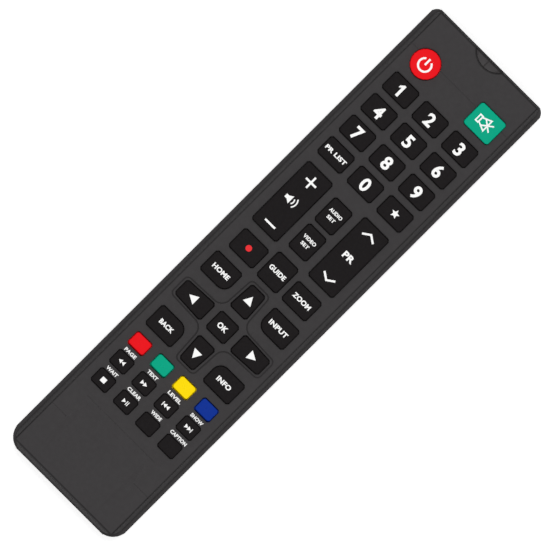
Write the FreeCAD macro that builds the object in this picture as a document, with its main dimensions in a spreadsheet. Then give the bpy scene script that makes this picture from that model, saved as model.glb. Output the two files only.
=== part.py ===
import FreeCAD, Part
import math
import os
import re

import Sketcher

# Television remote control lying on its back, keys up.
# +Y points to the head with the infrared window, +X to the right of the keys, +Z up.
# The origin is the middle of the flat back on the surface that the remote lies on.
# Distances called from_head run back from the head edge. All sizes are in millimetres.

SIZES = [
    ("body_length", 184.0, "overall length"),
    ("body_width", 46.0, "overall width of the lower case"),
    ("tail_corner_radius", 5.8, "plan corners at the tail"),
    ("head_corner_radius", 2.8, "plan corners at the head"),
    ("case_wall", 1.5, "wall of both mouldings"),
    ("parting_height", 9.8, "seam between the two mouldings"),
    ("lower_draft", 4.0, "lean of the lower side walls in degrees"),
    ("bottom_edge_radius", 4.2, "rounding round the back"),
    ("seam_step", 1.1, "upper moulding inside the lower one along the sides"),
    ("seam_step_end", 0.35, "the same step at head and tail"),
    ("shoulder_width", 2.55, "side edge to the crease along the face"),
    ("tail_bevel_width", 1.4, "tail edge to the crease along the tail"),
    ("head_bevel_width", 0.55, "head edge to the crease along the head"),
    ("head_facet_length", 13.2, "face that falls towards the head"),
    ("head_facet_drop", 0.7, "fall of that face"),
    ("tail_facet_share", 0.663, "face that falls towards the tail, as a share of the dish"),
    ("tail_facet_drop", 1.1, "fall of that face"),
    ("dish_margin", 3.83, "feet of the last keys to the shallow thumb dish in the tail"),
    ("dish_half_width", 14.5, "half width of the dish at the face"),
    ("dish_flank_width", 2.5, "sloping flanks of the dish in plan"),
    ("dish_flank_rise", 0.45, "sloping flanks of the dish in height"),
    ("register_clearance", 0.15, "gap round the lip that locates the halves"),
    ("register_wall", 0.75, "thickness of that lip"),
    ("register_rise", 1.4, "lip above the seam"),
    ("register_root", 1.3, "lip below the seam"),
    ("window_chord", 11.6, "infrared window along the head edge"),
    ("window_depth", 3.45, "infrared window from the head edge"),
    ("window_clearance", 0.1, "gap round the window"),
    ("window_ridge", 0.3, "fall of the window top from its middle ridge"),
    ("plateau_centre", 114.3, "middle of the arrow keys from the head"),
    ("plateau_reach_side", 18.8, "cross from its middle to each side end"),
    ("plateau_reach_along", 16.75, "cross from its middle to its upper and lower ends"),
    ("plateau_arm_side", 3.95, "half height of a side arm at its end"),
    ("plateau_arm_side_root", 4.5, "half height of a side arm at the middle"),
    ("plateau_arm_along", 4.1, "half width of a long arm at its end"),
    ("plateau_arm_along_root", 4.8, "half width of a long arm at the middle"),
    ("plateau_end_radius", 1.8, "outer corners of the cross"),
    ("plateau_inner_radius", 3.0, "inner corners of the cross"),
    ("plateau_height", 0.45, "cross above the face"),
    ("plateau_edge_width", 0.55, "sloping edge of the cross in plan"),
    ("cell_diameter", 10.5, "AAA cell"),
    ("cell_length", 44.5, "AAA cell with its nub"),
    ("nub_diameter", 3.8, "positive nub"),
    ("nub_length", 0.8, "positive nub"),
    ("cell_side_gap", 0.2, "gap between the two cells and beside them"),
    ("cell_floor_gap", 0.5, "cell above the battery cover"),
    ("cell_roof_gap", 0.3, "cell below the roof of the bay"),
    ("contact_gap", 0.1, "loose fit of the cells along the bay"),
    ("contact_thickness", 0.4, "contact plates"),
    ("contact_width", 8.6, "contact plates"),
    ("contact_tab_width", 3.0, "solder tabs of the contact plates"),
    ("spring_length", 4.9, "contact springs as fitted"),
    ("spring_base_diameter", 6.4, "contact spring at its plate"),
    ("spring_tip_diameter", 4.2, "contact spring at the cell"),
    ("bay_wall", 1.2, "side and end walls of the battery bay"),
    ("bay_roof", 0.8, "roof of the battery bay"),
    ("bay_tail_distance", 7.0, "tail edge to the inside of the bay"),
    ("cover_half_width", 13.5, "battery cover"),
    ("cover_length", 62.5, "battery cover from the tail edge"),
    ("cover_end_height", 5.0, "battery cover up the tail wall"),
    ("cover_gap", 0.2, "gap round the battery cover"),
    ("flange_width", 1.0, "runner beside the battery cover"),
    ("flange_underside", 0.8, "runner above the back"),
    ("flange_gap", 0.1, "running gap above and below the runner"),
    ("flange_tail_inset", 5.0, "runner ends before the tail edge"),
    ("rail_width", 3.2, "guide that holds the runner"),
    ("rail_height", 1.1, "guide above the runner"),
    ("grip_groove_length", 13.0, "thumb grooves of the cover"),
    ("grip_groove_width", 0.9, "thumb grooves of the cover"),
    ("grip_groove_depth", 0.5, "thumb grooves of the cover"),
    ("grip_groove_pitch", 1.9, "thumb grooves of the cover"),
    ("grip_groove_count", 6, "thumb grooves of the cover"),
    ("grip_distance", 8.0, "first groove from the front edge of the cover"),
    ("latch_half_width", 4.0, "springing tongue in the front edge of the cover"),
    ("latch_length", 5.5, "springing tongue in the front edge of the cover"),
    ("latch_slot", 0.7, "slot beside the tongue"),
    ("board_gap", 0.2, "circuit board above the roof of the bay"),
    ("board_thickness", 1.2, "circuit board"),
    ("board_side_gap", 0.2, "circuit board inside the creases of the cavity"),
    ("board_head_distance", 12.2, "head edge to the circuit board"),
    ("board_margin", 1.23, "circuit board behind the feet of the last keys"),
    ("board_corner_radius", 1.5, "circuit board"),
    ("web_thickness", 0.8, "silicone sheet on the board"),
    ("web_inset", 0.7, "edge of the sheet inside the edge of the board"),
    ("web_hole_gap", 0.3, "sheet round each contact stud"),
    ("key_travel", 0.8, "stroke of a key"),
    ("key_bottom_gap", 0.1, "key foot above the sheet when pressed"),
    ("stud_gap", 0.05, "contact stud above the board when pressed"),
    ("foot_thickness", 0.7, "foot that keeps a key behind the face"),
    ("foot_width", 0.5, "foot beyond the side of the key"),
    ("foot_gap", 0.3, "foot below the face wall"),
    ("stud_width", 3.4, "contact stud"),
    ("key_clearance", 0.2, "gap round a key in its opening"),
    ("key_rise", 1.6, "key tops above the face"),
    ("nav_key_rise", 1.95, "arrow and OK keys above the face"),
    ("small_key_rise", 1.3, "colour and small keys above the face"),
    ("key_corner", 1.0, "plan corners of the keys"),
    ("top_row", 15.2, "power and mute from the head"),
    ("power_x", 12.8, "power key left of the middle"),
    ("power_diameter", 9.3, "power key"),
    ("mute_x", 12.4, "mute key right of the middle"),
    ("mute_width", 10.1, "mute key"),
    ("mute_height", 8.55, "mute key"),
    ("digit_row", 26.0, "first digit row from the head"),
    ("digit_row_pitch", 9.165, "digit rows"),
    ("digit_column_pitch", 12.55, "digit columns"),
    ("digit_width", 9.8, "digit key"),
    ("digit_height", 6.55, "digit key"),
    ("rocker_row", 72.65, "middle of the rockers from the head"),
    ("rocker_x", 11.95, "rockers from the middle"),
    ("rocker_width", 10.3, "rocker"),
    ("rocker_height", 24.35, "rocker"),
    ("rocker_stud_reach", 8.5, "contact studs of a rocker from its pivot"),
    ("rocker_foot_length", 6.0, "side feet of a rocker at its pivot"),
    ("rocker_bead_radius", 0.6, "round bead that a rocker tips on"),
    ("rocker_lift", 0.35, "extra stud length, as a rocker tips less than a key sinks"),
    ("mode_row", 67.1, "sound key from the head"),
    ("mode_pitch", 11.1, "sound to picture key"),
    ("mode_width", 7.35, "sound and picture keys"),
    ("mode_height", 9.15, "sound and picture keys"),
    ("middle_row", 91.9, "record and zoom keys from the head"),
    ("middle_x", 11.25, "record and zoom keys from the middle"),
    ("middle_width", 10.0, "record and zoom keys"),
    ("middle_height", 7.4, "record and zoom keys"),
    ("guide_row", 90.9, "guide key from the head"),
    ("guide_width", 8.25, "guide key"),
    ("guide_height", 9.8, "guide key"),
    ("corner_key_reach", 11.6, "menu, input, exit and info keys from the arrow centre, along"),
    ("corner_key_x", 12.2, "menu, input, exit and info keys from the middle"),
    ("corner_key_width", 10.55, "menu, input, exit and info keys"),
    ("corner_key_height", 7.65, "menu, input, exit and info keys"),
    ("corner_key_curve", 3.1, "their corner that faces the arrow keys"),
    ("arrow_reach_along", 10.95, "up and down keys from the arrow centre"),
    ("arrow_reach_side", 11.95, "left and right keys from the arrow centre"),
    ("arrow_length_along", 9.05, "up and down keys"),
    ("arrow_length_side", 11.1, "left and right keys"),
    ("arrow_half_outer", 2.78, "half width of an arrow key at its outer end"),
    ("arrow_half_inner", 3.3, "half width of an arrow key at its inner end"),
    ("ok_width", 7.5, "OK key"),
    ("ok_height", 6.9, "OK key"),
    ("small_column_pitch", 9.4, "columns of the small keys"),
    ("colour_row", 135.3, "colour keys from the head"),
    ("colour_width", 6.1, "colour key"),
    ("colour_height", 4.8, "colour key"),
    ("small_row", 143.0, "first row of small keys from the head"),
    ("small_row_pitch", 7.8, "rows of small keys"),
    ("small_width", 6.1, "small key"),
    ("small_height", 4.95, "small key"),
    ("small_corner", 0.8, "plan corners of the colour and small keys"),
    ("small_stud_width", 2.6, "contact stud of the colour and small keys"),
    ("rib_width", 1.2, "side ribs that hold the board down"),
    ("rib_overlap", 0.4, "ribs over the edge of the board"),
    ("rib_pitch", 25.0, "side ribs"),
    ("rib_count", 6, "side ribs on each side"),
    ("rib_first", 20.5, "first side rib from the head"),
    ("rib_gap", 0.05, "ribs above the board"),
    ("rib_root", 0.3, "ribs and boss into the face wall"),
    ("post_width", 3.0, "posts of the lower case under the board"),
    ("post_x", 13.5, "posts from the middle"),
    ("post_first", 24.0, "first posts from the head"),
    ("post_pitch", 44.0, "posts along the case"),
    ("post_gap", 0.1, "posts below the board"),
    ("screw_margin", 5.23, "case screw behind the feet of the last keys"),
    ("screw_diameter", 2.2, "case screw"),
    ("screw_length", 4.4, "case screw under its head"),
    ("screw_head_diameter", 3.6, "case screw"),
    ("screw_head_height", 1.2, "case screw"),
    ("screw_clearance", 0.1, "hole round the screw"),
    ("boss_diameter", 5.2, "boss that takes the screw"),
    ("led_diameter", 5.0, "infrared LED"),
    ("led_flange_diameter", 5.8, "flange of the LED"),
    ("led_flange_thickness", 1.0, "flange of the LED"),
    ("led_length", 7.9, "infrared LED"),
    ("led_tip_length", 1.6, "tapered tip of the LED"),
    ("led_tip_diameter", 2.8, "front of the tip"),
    ("led_height", 13.1, "axis of the LED above the back"),
    ("led_gap", 0.3, "LED ahead of the board"),
    ("lead_width", 0.5, "leads of the LED"),
    ("lead_spacing", 2.54, "leads of the LED"),
    ("lead_length", 5.0, "leads under the board"),
    ("chip_length", 18.0, "controller chip"),
    ("chip_width", 7.6, "controller chip"),
    ("chip_height", 2.4, "controller chip"),
    ("chip_from_head", 70.0, "controller chip"),
    ("pin_length", 1.3, "pins of the chip"),
    ("pin_width", 0.45, "pins of the chip"),
    ("pin_thickness", 0.25, "pins of the chip"),
    ("pin_pitch", 1.8, "pins of the chip"),
    ("pin_count", 9, "pins on each side of the chip"),
    ("resonator_length", 7.0, "resonator"),
    ("resonator_width", 3.2, "resonator"),
    ("resonator_height", 6.0, "resonator"),
    ("resonator_margin", 5.75, "resonator inside the edge of the board"),
    ("resonator_from_head", 62.0, "resonator"),
    ("capacitor_diameter", 5.0, "capacitor"),
    ("capacitor_height", 7.5, "capacitor"),
    ("capacitor_x", 10.0, "capacitor from the middle"),
    ("capacitor_from_head", 100.0, "capacitor"),
    ("resistor_length", 2.0, "chip resistors"),
    ("resistor_width", 1.25, "chip resistors"),
    ("resistor_height", 0.5, "chip resistors"),
    ("resistor_pitch", 4.0, "chip resistors"),
    ("resistor_count", 5, "chip resistors"),
    ("resistor_from_head", 34.0, "first chip resistor"),
]

NAMES = {name for name, _, _ in SIZES}
Y_AXIS = FreeCAD.Vector(0, 1, 0)
Z_AXIS = FreeCAD.Vector(0, 0, 1)
PARTS_FOLDER = "parts"

# Heights of the stack, from the back upwards.
CELL_AXIS = "(case_wall + cell_floor_gap + cell_diameter / 2)"
BAY_CEILING = "(case_wall + cell_floor_gap + cell_diameter + cell_roof_gap)"
BAY_TOP = f"({BAY_CEILING} + bay_roof)"
BOARD_BOTTOM = f"({BAY_TOP} + board_gap)"
BOARD_TOP = f"({BOARD_BOTTOM} + board_thickness)"
WEB_TOP = f"({BOARD_TOP} + web_thickness)"
FOOT_BOTTOM = f"({WEB_TOP} + key_bottom_gap + key_travel)"
FOOT_TOP = f"({FOOT_BOTTOM} + foot_thickness)"
CEILING = f"({FOOT_TOP} + foot_gap)"
FACE = f"({CEILING} + case_wall)"
STUD_BOTTOM = f"({BOARD_TOP} + stud_gap + key_travel)"

# Places along the length.
HEAD = "(body_length / 2)"
TAIL = "(-body_length / 2)"
BAY_TAIL = f"({TAIL} + bay_tail_distance)"
BAY_LENGTH = "(cell_length + spring_length + 2 * contact_thickness + 2 * contact_gap)"
BAY_HEAD = f"({BAY_TAIL} + {BAY_LENGTH})"
BAY_HALF_WIDTH = "(cell_diameter + 1.5 * cell_side_gap)"
CELL_X = "(cell_diameter / 2 + cell_side_gap / 2)"
COVER_HEAD = f"({TAIL} + cover_length)"

# The rows and columns of keys are given for this plan, and spread with the body: the rows from the first one
# on and the columns from the middle.
PLAN_LENGTH = 184
PLAN_HALF_WIDTH = 18.95
INNER_HALF = "(body_width / 2 - shoulder_width - case_wall)"
ALONG = f"((body_length - top_row) / ({PLAN_LENGTH} - top_row))"
ACROSS = f"({INNER_HALF} / {PLAN_HALF_WIDTH})"
LAST_ROW = f"(top_row + {ALONG} * (small_row + small_row_pitch + small_height / 2 - top_row) + foot_width)"
DISH_LENGTH = f"(body_length - {LAST_ROW} - dish_margin)"
SCREW_Y = f"({HEAD} - {LAST_ROW} - screw_margin)"
BOARD_TAIL = f"({HEAD} - {LAST_ROW} - board_margin)"
BOARD_HALF = f"({INNER_HALF} - board_side_gap)"

doc = FreeCAD.newDocument("Remote")
sheet = doc.addObject("Spreadsheet::Sheet", "Sizes")


def fill_sheet():
    """Write every driving size to the sheet under its own name."""
    for row, (name, number, note) in enumerate(SIZES, start=1):
        sheet.set(f"A{row}", note)
        sheet.set(f"B{row}", str(number))
        sheet.setAlias(f"B{row}", name)
    doc.recompute()


def bound(text):
    """The sheet expression of a size that is written in plain names."""
    def spelled(word):
        return f"Sizes.{word[0]}" if word[0] in NAMES else word[0]
    return re.sub(r"[a-z][a-z_]*", spelled, str(text))


def value(text):
    """The number that a size stands for now."""
    return float(sheet.evalExpression(bound(text)))


def from_head(distance):
    """Y of a distance from the head edge."""
    return f"({HEAD} - ({distance}))"


def row_y(distance):
    """Y of a row of keys, or of what goes with the rows."""
    return from_head(f"top_row + {ALONG} * ({distance} - top_row)")


def new_body(label):
    """Empty body of one sub-part."""
    body = doc.addObject("PartDesign::Body", "Body_" + label)
    body.Label = label
    return body


def new_sketch(body, name, plane="XY_Plane", offset=("0", "0", "0")):
    """Sketch on an origin plane of the body, moved by offset in its own axes."""
    sketch = body.newObject("Sketcher::SketchObject", name)
    origin_plane = next(item for item in body.Origin.OriginFeatures if item.Role == plane)
    sketch.AttachmentSupport = (origin_plane, [""])
    sketch.MapMode = "FlatFace"
    for axis, distance in zip("xyz", offset):
        if distance != "0":
            sketch.setExpression(f"AttachmentOffset.Base.{axis}", bound(distance))
    return sketch


def constrain(sketch, constraints):
    """Add (kind, elements, size) constraints and tie the sizes to the sheet."""
    added = []
    for kind, elements, size in constraints:
        if size is None:
            added.append(Sketcher.Constraint(kind, *elements))
        else:
            added.append(Sketcher.Constraint(kind, *elements, value(size)))
    first = sketch.ConstraintCount
    sketch.addConstraint(added)
    for index, (_, _, size) in enumerate(constraints, start=first):
        if size is not None:
            sketch.setExpression(f"Constraints[{index}]", bound(size))


def corner_arc(before, corner, after, radius):
    """Arc that rounds a corner: its ends along the outline, itself, and whether it turns left."""
    to_before = (before - corner).normalize()
    to_after = (after - corner).normalize()
    half = to_before.getAngle(to_after) / 2
    start = corner + to_before * (radius / math.tan(half))
    end = corner + to_after * (radius / math.tan(half))
    centre = corner + (to_before + to_after).normalize() * (radius / math.sin(half))
    turns_left = to_before.cross(to_after).z < 0
    first, last = (start, end) if turns_left else (end, start)
    angles = [math.atan2(point.y - centre.y, point.x - centre.x) for point in (first, last)]
    if angles[1] < angles[0]:
        angles[1] += 2 * math.pi
    return start, end, Part.ArcOfCircle(Part.Circle(centre, Z_AXIS, radius), *angles), turns_left


def add_outline(sketch, corners):
    """Closed outline through (x, y, radius) corners, counter-clockwise; radius None is a sharp corner."""
    points = [FreeCAD.Vector(value(x), value(y), 0) for x, y, _ in corners]
    count = len(points)
    ends = [(point, point) for point in points]
    arcs = {}
    for index, (_, _, radius) in enumerate(corners):
        if radius is not None:
            neighbours = points[index - 1], points[index], points[(index + 1) % count]
            start, end, arc, turns_left = corner_arc(*neighbours, value(radius))
            ends[index] = start, end
            arcs[index] = arc, turns_left
    first_line = sketch.GeometryCount
    sketch.addGeometry([Part.LineSegment(ends[i][1], ends[(i + 1) % count][0]) for i in range(count)], False)
    first_arc = sketch.GeometryCount
    sketch.addGeometry([arc for arc, _ in arcs.values()], False)
    first_point = sketch.GeometryCount
    sketch.addGeometry([Part.Point(point) for point in points], True)
    arc_number = {index: first_arc + order for order, index in enumerate(arcs)}
    constraints = []
    for index, (x, y, radius) in enumerate(corners):
        line_in = first_line + (index - 1) % count
        line_out = first_line + index
        point = first_point + index
        constraints.append(("DistanceX", (-1, 1, point, 1), x))
        constraints.append(("DistanceY", (-1, 1, point, 1), y))
        if radius is None:
            constraints.append(("Coincident", (line_in, 2, point, 1), None))
            constraints.append(("Coincident", (line_out, 1, point, 1), None))
        else:
            arc = arc_number[index]
            near, far = (1, 2) if arcs[index][1] else (2, 1)
            constraints.append(("Tangent", (line_in, 2, arc, near), None))
            constraints.append(("Tangent", (arc, far, line_out, 1), None))
            constraints.append(("Radius", (arc,), radius))
            constraints.append(("PointOnObject", (point, 1, line_in), None))
            constraints.append(("PointOnObject", (point, 1, line_out), None))
    constrain(sketch, constraints)


def add_rectangle(sketch, left, bottom, right, top, radius=None):
    """Rectangle between two corners with one corner radius."""
    add_outline(sketch, [(left, bottom, radius), (right, bottom, radius),
                         (right, top, radius), (left, top, radius)])


def add_circle(sketch, x, y, diameter):
    """Circle at (x, y)."""
    centre = FreeCAD.Vector(value(x), value(y), 0)
    circle = sketch.addGeometry(Part.Circle(centre, Z_AXIS, value(diameter) / 2), False)
    constrain(sketch, [("Diameter", (circle,), diameter), ("DistanceX", (-1, 1, circle, 3), x),
                       ("DistanceY", (-1, 1, circle, 3), y)])


def new_feature(kind, sketch, suffix):
    """Feature of a sketch in the sketch's own body."""
    feature = sketch.getParent().newObject("PartDesign::" + kind, sketch.Name + suffix)
    feature.Profile = sketch
    return feature


def pad(sketch, length, both_ways=False, downwards=False):
    """Add the sketched form to the body."""
    feature = new_feature("Pad", sketch, "_pad")
    feature.setExpression("Length", bound(length))
    feature.SideType = "Symmetric" if both_ways else "One side"
    feature.Reversed = downwards
    return feature


def pocket(sketch, length=None, both_ways=False, upwards=False):
    """Cut the sketched form from the body, all the way where no length is given."""
    feature = new_feature("Pocket", sketch, "_pocket")
    if length is None:
        feature.Type = "ThroughAll"
    else:
        feature.setExpression("Length", bound(length))
    feature.SideType = "Symmetric" if both_ways else "One side"
    feature.Reversed = upwards
    return feature


def revolve(sketch, axis="H_Axis"):
    """Turn the sketched half section about an axis of the sketch."""
    feature = new_feature("Revolution", sketch, "_turned")
    feature.ReferenceAxis = (sketch, [axis])
    feature.Angle = 360
    return feature


def axis_or_plane(body, role):
    """Origin axis or plane of a body."""
    return next(item for item in body.Origin.OriginFeatures if item.Role == role)


def repeat(body, feature, role, pitch, count, backwards=False):
    """Row of copies of a feature along an axis of the body."""
    row = body.newObject("PartDesign::LinearPattern", feature.Name + "_row")
    row.Originals = [feature]
    row.Direction = (axis_or_plane(body, role), [""])
    row.Reversed = backwards
    row.Mode = "Spacing"
    row.setExpression("Offset", bound(pitch))
    row.setExpression("Occurrences", bound(count))
    body.Tip = row
    return row


def mirror(body, feature):
    """Copy of a feature on the other side of the middle plane."""
    copy = body.newObject("PartDesign::Mirrored", feature.Name + "_mirror")
    copy.Originals = [feature]
    copy.MirrorPlane = (axis_or_plane(body, "YZ_Plane"), [""])
    body.Tip = copy


def keep_inside(body, name, plane, draw):
    """Cut away everything outside the outline that draw puts in the sketch."""
    sketch = new_sketch(body, name, plane)
    add_rectangle(sketch, "-body_length", "-body_length", "body_length", "body_length")
    draw(sketch)
    pocket(sketch, both_ways=True)


def subtract(body, tool):
    """Cut another body from this one."""
    doc.recompute()
    cut = body.newObject("PartDesign::Boolean", body.Name + "_hollow")
    cut.Type = "Cut"
    cut.setObjects([tool])


def plan_outline(side_inset, end_inset, corner_inset):
    """Rounded plan of the case, in from its overall outline."""
    side = f"(body_width / 2 - {side_inset})"
    head = f"{HEAD} - {end_inset}"
    tail = f"{TAIL} + {end_inset}"
    head_radius = f"head_corner_radius - {corner_inset}"
    tail_radius = f"tail_corner_radius - {corner_inset}"
    return [(f"-{side}", tail, tail_radius), (side, tail, tail_radius),
            (side, head, head_radius), (f"-{side}", head, head_radius)]


def upper_plan(depth):
    """Plan of the upper moulding, in from its outer face by depth."""
    return plan_outline(f"(seam_step + {depth})", f"(seam_step_end + {depth})", depth)


def upper_form(body, inset="0"):
    """Form of the upper moulding: leaning sides, faceted face and rounded plan; inset gives its cavity."""
    top = f"({FACE} - {inset})"
    section = new_sketch(body, body.Label + "_section", "XZ_Plane")
    seam_x = f"(body_width / 2 - seam_step - {inset})"
    crease_x = f"(body_width / 2 - shoulder_width - {inset})"
    add_outline(section, [(f"-{seam_x}", "parting_height", None), (seam_x, "parting_height", None),
                          (crease_x, top, None), (f"-{crease_x}", top, None)])
    pad(section, "body_length", both_ways=True)

    tail_top = f"{top} - tail_facet_drop"
    head_top = f"{top} - head_facet_drop"
    profile = [(f"{TAIL} + seam_step_end + {inset}", "parting_height", None),
               (f"{HEAD} - seam_step_end - {inset}", "parting_height", None),
               (f"{HEAD} - head_bevel_width - {inset}", head_top, None),
               (f"{HEAD} - head_facet_length", top, None),
               (f"{TAIL} + tail_facet_share * {DISH_LENGTH}", top, None),
               (f"{TAIL} + tail_bevel_width + {inset}", tail_top, None)]
    keep_inside(body, body.Label + "_profile", "YZ_Plane", lambda sketch: add_outline(sketch, profile))
    keep_inside(body, body.Label + "_plan", "XY_Plane", lambda sketch: add_outline(sketch, upper_plan(inset)))


def lower_form(body, inset="0"):
    """Form of the lower moulding: leaning sides, rounded back and rounded plan; inset gives its cavity."""
    lean = "parting_height * tan(lower_draft)"
    rounding = f"bottom_edge_radius - {inset}"

    def trough(half):
        """Section with leaning sides and a rounded bottom."""
        foot = f"({half} - {lean} - {inset})"
        rim = f"({half} - {inset})"
        return [(f"-{foot}", inset, rounding), (foot, inset, rounding),
                (rim, "parting_height", None), (f"-{rim}", "parting_height", None)]

    section = new_sketch(body, body.Label + "_section", "XZ_Plane")
    add_outline(section, trough("body_width / 2"))
    pad(section, "body_length", both_ways=True)
    keep_inside(body, body.Label + "_profile", "YZ_Plane",
                lambda sketch: add_outline(sketch, trough("body_length / 2")))
    keep_inside(body, body.Label + "_plan", "XY_Plane",
                lambda sketch: add_outline(sketch, plan_outline(inset, inset, inset)))


def shell(label, form):
    """Hollow moulding: its outer form less its cavity."""
    cavity = new_body(label + "_cavity")
    form(cavity, "case_wall")
    body = new_body(label)
    form(body)
    subtract(body, cavity)
    return body


def draw_window(sketch, grow="0"):
    """Circle whose part inside the head edge is the infrared window."""
    radius = "((window_chord * window_chord / 4 + window_depth * window_depth) / (2 * window_depth))"
    add_circle(sketch, "0", f"{HEAD} - window_depth + {radius}", f"2 * ({radius} + {grow})")


CORNER_SIGNS = [("-", "-"), ("+", "-"), ("+", "+"), ("-", "+")]


class Key:
    """One key; reach holds (x, y, radius) from its middle to each corner, starting at the lower left."""

    def __init__(self, label, x, row, reach, rise="key_rise", stud="stud_width"):
        self.label = label
        self.x = f"{ACROSS} * ({x})"
        self.y = row_y(row)
        self.reach = [(f"{ACROSS} * {reach_x}", f"{ALONG} * {reach_y}", radius)
                      for reach_x, reach_y, radius in reach]
        self.rise = rise
        self.stud = stud
        self.diameter = None
        self.tips = False

    def corners(self, grow):
        """Corners of the plan with their signs and radius, grown all round."""
        for (sign_x, sign_y), (reach_x, reach_y, radius) in zip(CORNER_SIGNS, self.reach):
            corner = f"{self.x} {sign_x} ({reach_x} + {grow})", f"{self.y} {sign_y} ({reach_y} + {grow})"
            yield (sign_x, sign_y), corner, radius

    def draw(self, sketch, grow="0", sharp=False):
        """Sketch the plan, grown all round. Small corners are cut straight, which keeps 42 keys light."""
        if self.diameter:
            add_circle(sketch, self.x, self.y, f"{self.diameter} + 2 * {grow}")
            return
        outline = []
        for (sign_x, sign_y), (x, y), radius in self.corners(grow):
            if sharp:
                outline.append((x, y, None))
            elif radius == "corner_key_curve":
                outline.append((x, y, f"{radius} + {grow}"))
            else:
                outline += cut_corner(sign_x, sign_y, x, y, f"(2 - sqrt(2)) * ({radius} + {grow})")
        add_outline(sketch, outline)

    def stud_middles(self):
        """Middles of the contact studs."""
        if self.tips:
            return [(self.x, f"{self.y} {sign} {ALONG} * rocker_stud_reach") for sign in "+-"]
        return [(self.x, self.y)]


def cut_corner(sign_x, sign_y, x, y, leg):
    """The two ends of a straight cut that touches the rounding it stands for."""
    inward_x = f"{x} {'+' if sign_x == '-' else '-'} {leg}"
    inward_y = f"{y} {'+' if sign_y == '-' else '-'} {leg}"
    ends = [(x, inward_y, None), (inward_x, y, None)]
    return ends if sign_x == sign_y else ends[::-1]


def block_key(label, x, row, width, height, corner="key_corner", **heights):
    """Key with a rounded rectangular plan."""
    return Key(label, x, row, [(f"{width} / 2", f"{height} / 2", corner)] * 4, **heights)


def corner_key(label, side, direction, curved):
    """Key diagonally beside the arrows, with one large curve towards them."""
    reach = [("corner_key_width / 2", "corner_key_height / 2", "key_corner")] * 4
    reach[curved] = ("corner_key_width / 2", "corner_key_height / 2", "corner_key_curve")
    return Key(label, f"{side}corner_key_x", f"plateau_centre {direction} corner_key_reach", reach)


def arrow_key(label, x, row, narrow):
    """Arrow key that narrows towards its outer end; narrow lists the corners there."""
    reach = []
    for corner in range(4):
        half_width = "arrow_half_outer" if corner in narrow else "arrow_half_inner"
        if x == "0":
            reach.append((half_width, "arrow_length_along / 2", "key_corner"))
        else:
            reach.append(("arrow_length_side / 2", half_width, "key_corner"))
    return Key(label, x, row, reach, rise="nav_key_rise")


def rocker(label, x):
    """Long key that tips about its middle."""
    key = block_key(label, x, "rocker_row", "rocker_width", "rocker_height")
    key.tips = True
    return key


def all_keys():
    """Every key of the remote, from head to tail."""
    power = Key("key_power", "-power_x", "top_row", [])
    power.diameter = "power_diameter"
    keys = [power, block_key("key_mute", "mute_x", "top_row", "mute_width", "mute_height")]
    for index, name in enumerate(["1", "2", "3", "4", "5", "6", "7", "8", "9", "list", "0", "favourite"]):
        row, column = divmod(index, 3)
        keys.append(block_key(f"key_{name}", f"{column - 1} * digit_column_pitch",
                              f"digit_row + {row} * digit_row_pitch", "digit_width", "digit_height"))
    keys += [rocker("rocker_volume", "-rocker_x"), rocker("rocker_channel", "rocker_x"),
             block_key("key_sound", "0", "mode_row", "mode_width", "mode_height"),
             block_key("key_picture", "0", "mode_row + mode_pitch", "mode_width", "mode_height"),
             block_key("key_record", "-middle_x", "middle_row", "middle_width", "middle_height"),
             block_key("key_guide", "0", "guide_row", "guide_width", "guide_height"),
             block_key("key_zoom", "middle_x", "middle_row", "middle_width", "middle_height"),
             corner_key("key_menu", "-", "-", 1), corner_key("key_input", "", "-", 0),
             arrow_key("key_up", "0", "plateau_centre - arrow_reach_along", (2, 3)),
             arrow_key("key_left", "-arrow_reach_side", "plateau_centre", (0, 3)),
             block_key("key_ok", "0", "plateau_centre", "ok_width", "ok_height", rise="nav_key_rise"),
             arrow_key("key_right", "arrow_reach_side", "plateau_centre", (1, 2)),
             arrow_key("key_down", "0", "plateau_centre + arrow_reach_along", (0, 1)),
             corner_key("key_exit", "-", "+", 2), corner_key("key_info", "", "+", 3)]
    small = {"corner": "small_corner", "rise": "small_key_rise", "stud": "small_stud_width"}
    for column, colour in enumerate(["red", "green", "yellow", "blue"]):
        keys.append(block_key(f"key_{colour}", f"{column - 1.5} * small_column_pitch", "colour_row",
                              "colour_width", "colour_height", **small))
    names = ["rewind", "forward", "previous", "next", "stop", "play", "text", "subtitle"]
    for index, name in enumerate(names):
        row, column = divmod(index, 4)
        keys.append(block_key(f"key_{name}", f"{column - 1.5} * small_column_pitch",
                              f"small_row + {row} * small_row_pitch", "small_width", "small_height", **small))
    return keys


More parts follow.
